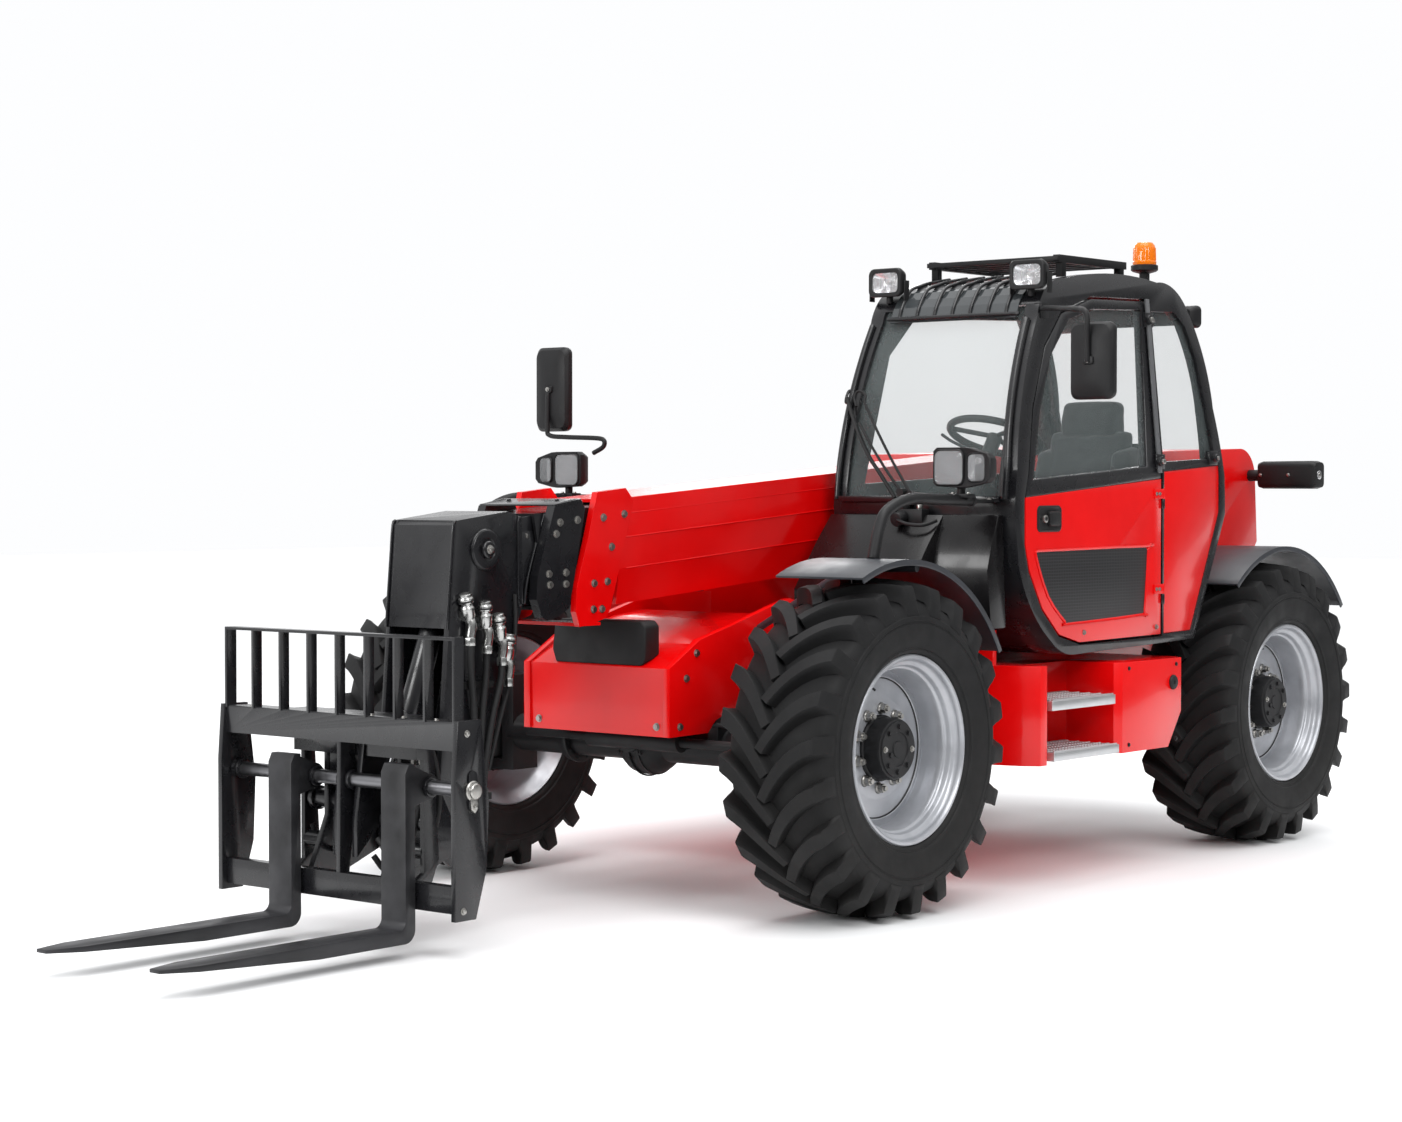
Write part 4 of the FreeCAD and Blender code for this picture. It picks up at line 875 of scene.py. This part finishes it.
    bm = bmesh.new()
    for x in (-0.455, 0.1):
        bolt(bm, (x + 0.02, 1.098, 0.975), LEFT, 0.008)
    for z in (1.11, 1.5):
        for x in (-0.448, -0.424):
            bolt(bm, (x, 1.105, z + 0.02), LEFT, 0.006)
    make_piece("door_bolts", bm, "door", "black_paint", "zinc")


def puff(piece, cells, growth, limit):
    """Blow a closed mesh up as stuffed cloth and keep the result."""
    remesh = piece.modifiers.new("remesh", "REMESH")
    remesh.mode = "VOXEL"
    remesh.voxel_size = cells
    bake_modifiers(piece)
    before = [vertex.co.copy() for vertex in piece.data.vertices]
    cloth = piece.modifiers.new("cloth", "CLOTH")
    cloth.settings.use_pressure = True
    cloth.settings.uniform_pressure_force = growth
    cloth.settings.effector_weights.gravity = 0.0
    cloth.settings.tension_stiffness = 18
    cloth.point_cache.frame_start = 1
    cloth.point_cache.frame_end = 16
    for step in range(1, 17):
        scene.frame_set(step)
    bake_modifiers(piece)
    for vertex, start in zip(piece.data.vertices, before):
        moved = vertex.co - start
        if moved.length > limit:
            vertex.co = start + moved.normalized() * limit
    scene.frame_set(1)
    smooth = piece.modifiers.new("smooth", "SMOOTH")
    smooth.factor = 0.5
    smooth.iterations = 6
    bake_modifiers(piece)
    piece.data.shade_smooth()


def cushion(name, outline, y0, y1):
    bm = bmesh.new()
    plate(bm, outline, y0, y1)
    piece = make_piece(name, bm, "chassis", "seat_fabric", "fabric", bevel=0.022, steps=4)
    puff(piece, 0.011, 2.5, 0.012)
    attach(piece, "chassis")
    return piece


def build_seat():
    seat_pad = cushion("seat_cushion", [(-0.59, 1.2), (-0.58, 1.29), (-0.34, 1.288), (-0.105, 1.308),
        (-0.085, 1.27), (-0.11, 1.19)], 0.445, 0.895)
    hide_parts("seat")
    back = [(-0.65, 1.29), (-0.53, 1.29), (-0.5, 1.43), (-0.535, 1.56), (-0.575, 1.74), (-0.59, 1.79),
        (-0.67, 1.79), (-0.665, 1.6)]
    cushion("seat_back_cushion", back, 0.475, 0.865)
    for y0, y1, name in ((0.445, 0.53, "left"), (0.81, 0.895, "right")):
        cushion("seat_bolster_" + name, [(-0.65, 1.32), (-0.5, 1.33), (-0.465, 1.45), (-0.545, 1.7),
            (-0.665, 1.72)], y0, y1)
    cushion("head_cushion", [(-0.685, 1.745), (-0.585, 1.745), (-0.58, 1.83), (-0.605, 1.91),
        (-0.684, 1.905)], 0.535, 0.805)
    bm = bmesh.new()
    box(bm, (-0.47, 0.52, 0.965), (-0.23, 0.82, 0.985))
    for i in range(7):
        z = 0.985 + i * 0.028
        inset = 0.012 if i % 2 else 0.0
        box(bm, (-0.555 + inset, 0.465 + inset, z), (-0.145 - inset, 0.875 - inset, z + 0.029))
    plate(bm, [(-0.6, 1.18), (-0.1, 1.18), (-0.11, 1.205), (-0.585, 1.205)], 0.44, 0.9)
    plate(bm, [(-0.69, 1.24), (-0.64, 1.24), (-0.655, 1.73), (-0.69, 1.73)], 0.45, 0.89)
    for y in (0.425, 0.905):
        plate(bm, [(-0.56, 1.4), (-0.3, 1.42), (-0.28, 1.45), (-0.56, 1.45)], y - 0.025, y + 0.025)
    make_piece("seat_shell", bm, "chassis", "seat_fabric", "plastic", bevel=0.006)


def build_cab_inside():
    bm = bmesh.new()
    box(bm, (-0.5, 0.315, 0.965), (0.2, 0.425, 1.33))
    box(bm, (-0.42, 0.325, 1.33), (0.02, 0.415, 1.375))
    tube(bm, [(-0.1, 0.37, 1.375), (-0.095, 0.372, 1.43), (-0.08, 0.375, 1.48)], 0.01)
    lathe(bm, [(0, 0.0), (0.02, 0.005), (0.026, 0.035), (0.022, 0.07), (0.012, 0.085), (0, 0.088)],
        (-0.08, 0.375, 1.47), (0.1, 0, 1), 20)
    tube(bm, [(0.245, 0.655, 1.69), (0.25, 0.56, 1.73), (0.24, 0.5, 1.76)], 0.007, 8)
    box(bm, (0.475, 0.5, 1.4), (0.555, 0.82, 1.5))
    make_piece("cab_controls", bm, "chassis", "grey_plastic", "plastic", bevel=0.008)


# ---------------------------------------------------------------- boom and head
BOOM_DROOP = math.atan(0.0747)


def boom_point(s, y, n):
    """A point given along and above the boom's own axis, from its pivot."""
    return Vector((-1.55 + s * math.cos(BOOM_DROOP) + n * math.sin(BOOM_DROOP), y,
        1.56 - s * math.sin(BOOM_DROOP) + n * math.cos(BOOM_DROOP)))


def build_boom_details():
    for body, name, half, spots in (("boom", "boom_collar_bolts", 0.2,
            ((1.95, 1.437), (1.836, 1.449), (2.0, 1.199), (1.928, 1.204), (2.004, 1.105), (1.958, 1.105),
            (1.905, 1.33))), ("boom_second", "second_collar_bolts", 0.19,
            ((2.17, 1.421), (2.078, 1.429), (2.228, 1.238), (2.139, 1.241), (2.223, 1.199), (2.139, 1.2),
            (2.19, 1.38)))):
        bm = bmesh.new()
        for side in (1, -1):
            for x, z in spots:
                bolt(bm, (x, side * half, z), (0, side, 0), 0.011)
        make_piece(name, bm, body, "chrome", "zinc")
    bm = bmesh.new()
    for side in (1, -1):
        for n, half in ((0.054, 0.1752), (-0.06, 0.1752)):
            tube(bm, [boom_point(-0.1, side * half, n), boom_point(1.6, side * half, n),
                boom_point(3.36, side * half, n)], 0.0022, 8, cuts=2)
        tube(bm, [boom_point(-0.1, side * 0.1655, 0.14), boom_point(3.36, side * 0.1655, 0.14)], 0.0018, 8,
            cuts=2)
    make_piece("boom_seams", bm, "boom", "red_paint", "red")

    bm = bmesh.new()
    for side in (1, -1):
        edge = [(2.036, 1.47), (2.06, 1.501), (2.196, 1.48)]
        tube(bm, [(x, side * 0.176, z) for x, z in edge], 0.006, 8, cuts=3)
    prism(bm, [(2.052, -0.186, 1.5), (2.196, -0.186, 1.479), (2.196, 0.186, 1.479), (2.052, 0.186, 1.5)],
        (0, 0, 0.006))
    for y in (-0.12, 0.12):
        bolt(bm, (2.11, y, 1.497), (0.14, 0, 1), 0.009)
    make_piece("second_collar_trim", bm, "boom_second", "black_paint", "black", bevel=0.002)

    bm = bmesh.new()
    x, z = 2.52, 1.33
    for side in (1, -1):
        fold = [(2.196, 1.452), (2.326, 1.436), (2.316, 1.134), (2.3, 1.134), (2.29, 1.215)]
        plate(bm, fold, side * 0.118, side * 0.124)
        tube(bm, [(2.196, side * 0.14, 1.45), (2.225, side * 0.14, 1.39), (2.288, side * 0.14, 1.216),
            (2.303, side * 0.14, 1.134)], 0.006, 8, cuts=3)
        tube(bm, [(2.326, side * 0.14, 1.436), (2.322, side * 0.14, 1.3), (2.316, side * 0.14, 1.134)], 0.006,
            8, cuts=3)
        bolt(bm, (2.275, side * 0.124, 1.372), (0, side, 0), 0.008, 1)
        lathe(bm, [(0, 0), (0.072, 0), (0.072, 0.01), (0.066, 0.016), (0.04, 0.016), (0.036, 0.012),
            (0, 0.012)], (x, side * 0.155, z), (0, side, 0), 48)
        lathe(bm, [(0, 0), (0.03, 0), (0.03, 0.02), (0.026, 0.024), (0, 0.024)], (x, side * 0.16, z),
            (0, side, 0), 32)
        bolt(bm, (x, side * 0.184, z), (0, side, 0), 0.012, 1)
        tube(bm, [(2.335, side * 0.1565, 1.13), (2.35, side * 0.1565, 1.15), (2.35, side * 0.1565, 1.42),
            (2.338, side * 0.1565, 1.436)], 0.004, 8, cuts=3)
    front = [(2.652, 1.43), (2.665, 1.414), (2.676, 1.3), (2.698, 1.058)]
    for y in (-0.15, 0.15):
        tube(bm, [(px + 0.001, y, pz) for px, pz in front], 0.005, 8, cuts=3)
    make_piece("head_pin_caps", bm, "boom_third", "black_paint", "black", "zinc", bevel=0.001)

    bm = bmesh.new()
    for px, pz, lean, reach in ((2.62, 1.135, 0.3, 0.176), (2.55, 1.105, 0.12, 0.188),
            (2.47, 1.06, 0.25, 0.182), (2.435, 0.985, -0.1, 0.178)):
        foot = Vector((px, reach, pz - 0.035))
        axis = Vector((lean, 0.1, 1)).normalized()
        rod(bm, (px, 0.152, pz - 0.03), (px, reach + 0.004, pz - 0.03), 0.024, 20)
        lathe(bm, [(0, -0.01), (0.022, -0.01), (0.025, 0.004), (0.025, 0.034), (0.019, 0.042), (0.019, 0.05),
            (0.027, 0.052), (0.027, 0.068), (0.022, 0.074), (0.022, 0.084), (0, 0.088)], foot, axis, 24)
        lathe(bm, [(0.0265, 0.056), (0.0285, 0.058), (0.0285, 0.062), (0.0265, 0.064)], foot, axis, 24, 1,
            closed=True)
        tube(bm, [foot, foot + Vector((-0.006, 0.01, -0.03)), foot + Vector((0.0, 0.008, -0.075))], 0.018, 14)
        rod(bm, foot + Vector((0.0, 0.008, -0.1)), foot + Vector((0.0, 0.008, -0.072)), 0.021, 6)
    make_piece("hydraulic_couplers", bm, "boom_third", "chrome", "coupler", "rubber", bevel=0.0015)

    bm = bmesh.new()
    routes = (((2.62, 0.189, 1.015), (2.618, 0.186, 0.93), (2.6, 0.18, 0.8), (2.592, 0.178, 0.66),
        (2.6, 0.177, 0.52), (2.625, 0.176, 0.44)), ((2.545, 0.189, 0.985), (2.548, 0.19, 0.9),
        (2.56, 0.186, 0.78), (2.566, 0.18, 0.64), (2.58, 0.178, 0.5), (2.6, 0.176, 0.43)),
        ((2.47, 0.189, 0.965), (2.48, 0.196, 0.88), (2.515, 0.192, 0.76), (2.542, 0.186, 0.62),
        (2.56, 0.18, 0.5), (2.578, 0.176, 0.42)))
    for route in routes:
        tube(bm, route, 0.0125, 12)
    tube(bm, [(2.372, 0.16, 1.17), (2.372, 0.162, 1.06), (2.392, 0.164, 0.9), (2.45, 0.164, 0.74),
        (2.51, 0.164, 0.56)], 0.008, 10)
    for z in (0.86, 0.62, 0.47):
        middle = 2.56 + 0.03 * (0.86 - z)
        box(bm, (middle - 0.075, 0.154, z - 0.012), (middle + 0.065, 0.166, z + 0.012))
    make_piece("head_hoses", bm, "boom_third", "rubber", "rubber")


def build_carriage_details():
    bm = bmesh.new()
    for side in (1, -1):
        y = side * 0.585
        lathe(bm, [(0, 0), (0.034, 0), (0.034, 0.006), (0.03, 0.01), (0.026, 0.01), (0.026, 0.018),
            (0.022, 0.022), (0, 0.022)], (FORK_X, y, FORK_Z), (0, side, 0), 40, 1)
        slot = []
        for turn, middle in ((0.0, 0.606), (math.pi, 0.514)):
            for i in range(9):
                t = turn + math.pi * i / 8
                slot.append((FORK_X + 0.02 * math.cos(t), middle + 0.02 * math.sin(t)))
        prism(bm, [(px, y, pz) for px, pz in slot], (0, side * 0.005, 0), 0)
        prism(bm, [(3.0, y, 0.536), (3.034, y, 0.536), (3.03, y, 0.5), (3.014, y, 0.488), (3.0, y, 0.502)],
            (0, side * 0.011, 0), 1)
        bolt(bm, (3.015, y + side * 0.011, 0.508), (0, side, 0), 0.008, 1)
        bolt(bm, (3.04, y, 0.748), (0, side, 0), 0.009, 1)
        bolt(bm, (3.058, y, 0.172), (0, side, 0), 0.009, 1)
    for y in (0.022, -0.022, 0.395, 0.26, -0.16, -0.296, 0.545, -0.545):
        lathe(bm, [(0.0242, -0.007), (0.034, -0.007), (0.034, 0.007), (0.0242, 0.007)], (FORK_X, y, FORK_Z),
            LEFT, 28, 0, closed=True)
    for y in (-0.455, -0.3, -0.15, 0.15, 0.3, 0.455):
        bolt(bm, (3.05, y, 0.785), UP, 0.007, 1)
    make_piece("carriage_fittings", bm, "carriage", "black_paint", "black", "zinc", bevel=0.001)

    bm = bmesh.new()
    rod(bm, (2.915, -0.275, 0.47), (2.915, -0.085, 0.47), 0.034, 24)
    rod(bm, (2.915, -0.275, 0.47), (2.915, -0.255, 0.47), 0.042, 24)
    rod(bm, (2.915, -0.105, 0.47), (2.915, -0.085, 0.47), 0.042, 24)
    rod(bm, (2.915, 0.085, 0.425), (2.915, 0.28, 0.425), 0.034, 24)
    rod(bm, (2.915, 0.085, 0.425), (2.915, 0.105, 0.425), 0.042, 24)
    box(bm, (2.9, 0.205, 0.5), (2.958, 0.283, 0.62))
    box(bm, (2.9, -0.16, 0.53), (2.956, -0.075, 0.636))
    for y, z in ((0.225, 0.62), (0.262, 0.62), (-0.14, 0.53), (-0.1, 0.53)):
        rod(bm, (2.93, y, z - 0.02), (2.93, y, z + 0.02), 0.011, 6, 1)
    routes = (((2.93, 0.225, 0.64), (2.91, 0.215, 0.66), (2.89, 0.15, 0.6), (2.89, 0.1, 0.5),
        (2.91, 0.095, 0.44)), ((2.93, 0.262, 0.64), (2.9, 0.28, 0.66), (2.885, 0.3, 0.52), (2.9, 0.29, 0.4),
        (2.93, 0.25, 0.34), (2.96, 0.16, 0.31), (2.97, 0.09, 0.36)),
        ((2.93, -0.14, 0.52), (2.9, -0.15, 0.46), (2.9, -0.2, 0.36), (2.93, -0.17, 0.3), (2.96, -0.1, 0.33),
        (2.955, -0.07, 0.44)), ((2.93, -0.1, 0.52), (2.885, -0.08, 0.47), (2.88, -0.11, 0.36),
        (2.91, -0.24, 0.29), (2.94, -0.27, 0.38)), ((2.94, 0.27, 0.5), (2.95, 0.24, 0.38), (2.93, 0.18, 0.27),
        (2.94, 0.1, 0.25), (2.97, 0.07, 0.3)))
    for route in routes:
        tube(bm, route, 0.0105, 10, 2)
    make_piece("carriage_hydraulics", bm, "carriage", "black_paint", "black", "zinc", "rubber", bevel=0.0015)


# ---------------------------------------------------------------- chassis details
def build_chassis_details():
    bm = bmesh.new()
    for side in (1, -1):
        for x, z in ((1.678, 0.844), (1.715, 0.668), (1.62, 0.935), (1.13, 1.05), (0.96, 1.0)):
            bolt(bm, (x, side * 0.365, z), (0, side, 0), 0.011)
    for y in (-0.295, 0.295):
        bolt(bm, (1.764, y, 0.668), AHEAD, 0.011)
    make_piece("nose_bolts", bm, "chassis", "chrome", "zinc")

    bm = bmesh.new()
    for end in (1, -1):
        x = end * AXLE_X
        for y in (-0.165, -0.125, -0.085, -0.045, -0.005, 0.035, 0.075):
            top = 0.14 - 7 * (y + 0.04) ** 2
            foot = top - 0.0065
            lathe(bm, [(foot, -0.004), (top, -0.004), (top, 0.004), (foot, 0.004)], (x, y, 0.575), LEFT, 40,
                0, closed=True)
        lathe(bm, [(0, 0), (0.062, 0), (0.062, 0.012), (0.05, 0.018), (0.03, 0.018), (0.026, 0.01),
            (0.016, 0.01), (0.014, 0.02), (0, 0.02)], (x + end * 0.128, -0.04, 0.598), (end, 0, 0.05), 32)
        for u, v in around(8, 0.078):
            bolt(bm, (x + end * 0.128, u - 0.04, 0.59 + v), (end, 0, 0), 0.007)
        for side in (1, -1):
            lathe(bm, [(0.074, -0.02), (0.098, -0.02), (0.098, 0.0), (0.104, 0.004), (0.104, 0.02),
                (0.074, 0.02)], (x, side * 0.42, 0.57), LEFT, 36, 0, closed=True)
            for u, v in around(10, 0.088):
                bolt(bm, (x + u, side * 0.42 + 0.02, 0.57 + v), LEFT, 0.006)
            for z in (0.418, 0.802):
                lathe(bm, [(0, -0.01), (0.05, -0.01), (0.056, 0.0), (0.05, 0.01), (0, 0.01)],
                    (x, side * KINGPIN_Y, z), UP, 28)
                up = 1 if z > 0.6 else -1
                for u, v in around(4, 0.036, math.pi / 4):
                    bolt(bm, (x + u, side * KINGPIN_Y + v, z + up * 0.009), (0, 0, up), 0.006)
            tube(bm, [(x + end * 0.1, side * 0.2, 0.64), (x + end * 0.11, side * 0.3, 0.668),
                (x + end * 0.06, side * 0.44, 0.65), (x + end * 0.02, side * 0.62, 0.652)], 0.009, 8)
    make_piece("axle_castings", bm, "chassis", "cast", "plastic", bevel=0.0015)

    bm = bmesh.new()
    lathe(bm, [(0, 0), (0.03, 0), (0.03, 0.006), (0.024, 0.012), (0, 0.013)], (-0.444, 1.171, 0.752), LEFT,
        32)
    box(bm, (-0.45, 1.182, 0.744), (-0.438, 1.187, 0.76))
    for x in (-0.47, -0.1):
        for z in (0.52, 0.825):
            bolt(bm, (x, 1.171, z), LEFT, 0.007)
    make_piece("side_box_cap", bm, "chassis", "black_paint", "plastic", bevel=0.001)

    bm = bmesh.new()
    for z, x0, x1, y1 in ((0.728, 0.01, 0.454, 1.168), (0.532, 0.01, 0.468, 1.186)):
        count = 22
        for i in range(count):
            x = x0 + (x1 - x0) * (i + 0.5) / count
            for y in (0.96, 1.01, 1.06, 1.11, 1.15):
                lathe(bm, [(0.0052, 0.0), (0.0068, 0.0), (0.0052, 0.0045), (0.004, 0.0045)],
                    (x, y, z - 0.0005), UP, 8, 0, closed=True)
        for y in (0.945, y1 - 0.004):
            box(bm, (x0, y - 0.003, z - 0.001), (x1, y + 0.003, z + 0.005))
    make_piece("step_treads", bm, "chassis", "aluminium", "aluminium")


def build_right_side():
    """Louvres, latch and handle of the engine hood."""
    bm = bmesh.new()
    for i in range(9):
        x = -0.42 + i * 0.055
        prism(bm, [(x, -1.1505, 1.06), (x, -1.1505, 1.21), (x + 0.034, -1.1505, 1.21),
            (x + 0.034, -1.1505, 1.06)], (0, -0.006, 0))
    for i in range(7):
        z = 1.055 + i * 0.026
        box(bm, (0.16, -1.1585, z), (0.56, -1.1505, z + 0.014))
    loft(bm, (-0.56, -1.15, 1.07), (0, -1, 0), [(0.12, 0.07, 0.016, -0.004), (0.12, 0.07, 0.016, 0.005),
        (0.096, 0.046, 0.012, 0.008)], [0] * 4)
    make_piece("hood_louvres", bm, "hood", "black_paint", "plastic", bevel=0.0015)


def build_small_rear():
    bm = bmesh.new()
    rod(bm, (-2.12, 0, 0.752), (-2.12, 0, 0.905), 0.0152, 24)
    tube(bm, [(-2.12, 0, 0.9), (-2.12, 0.0, 0.935), (-2.1, 0.0, 0.952), (-2.08, 0.0, 0.935)], 0.007, 10)
    make_piece("hitch_pin", bm, "chassis", "chrome", "zinc")
    bm = bmesh.new()
    for y in (-0.3, 0.3):
        for z in (0.8, 1.08):
            bolt(bm, (-2.04 + (0.03 if z > 1 else 0), y, z), (-1, 0, 0), 0.014)
    for y0 in (-0.36, 0.2):
        box(bm, (-2.0515, y0, 0.9), (-2.0475, y0 + 0.16, 0.96))
    make_piece("counterweight_fittings", bm, "chassis", "chrome", "zinc", bevel=0.001)


set_camera()
set_lights()
set_floor()
for build in (build_wheels, build_refined, build_headlights, build_work_lights, build_beacon,
        build_tail_lights, build_mirrors, build_cab_trim, build_seat, build_cab_inside, build_boom_details,
        build_carriage_details, build_chassis_details, build_right_side, build_small_rear):
    build()

scene.view_settings.view_transform = "Standard"
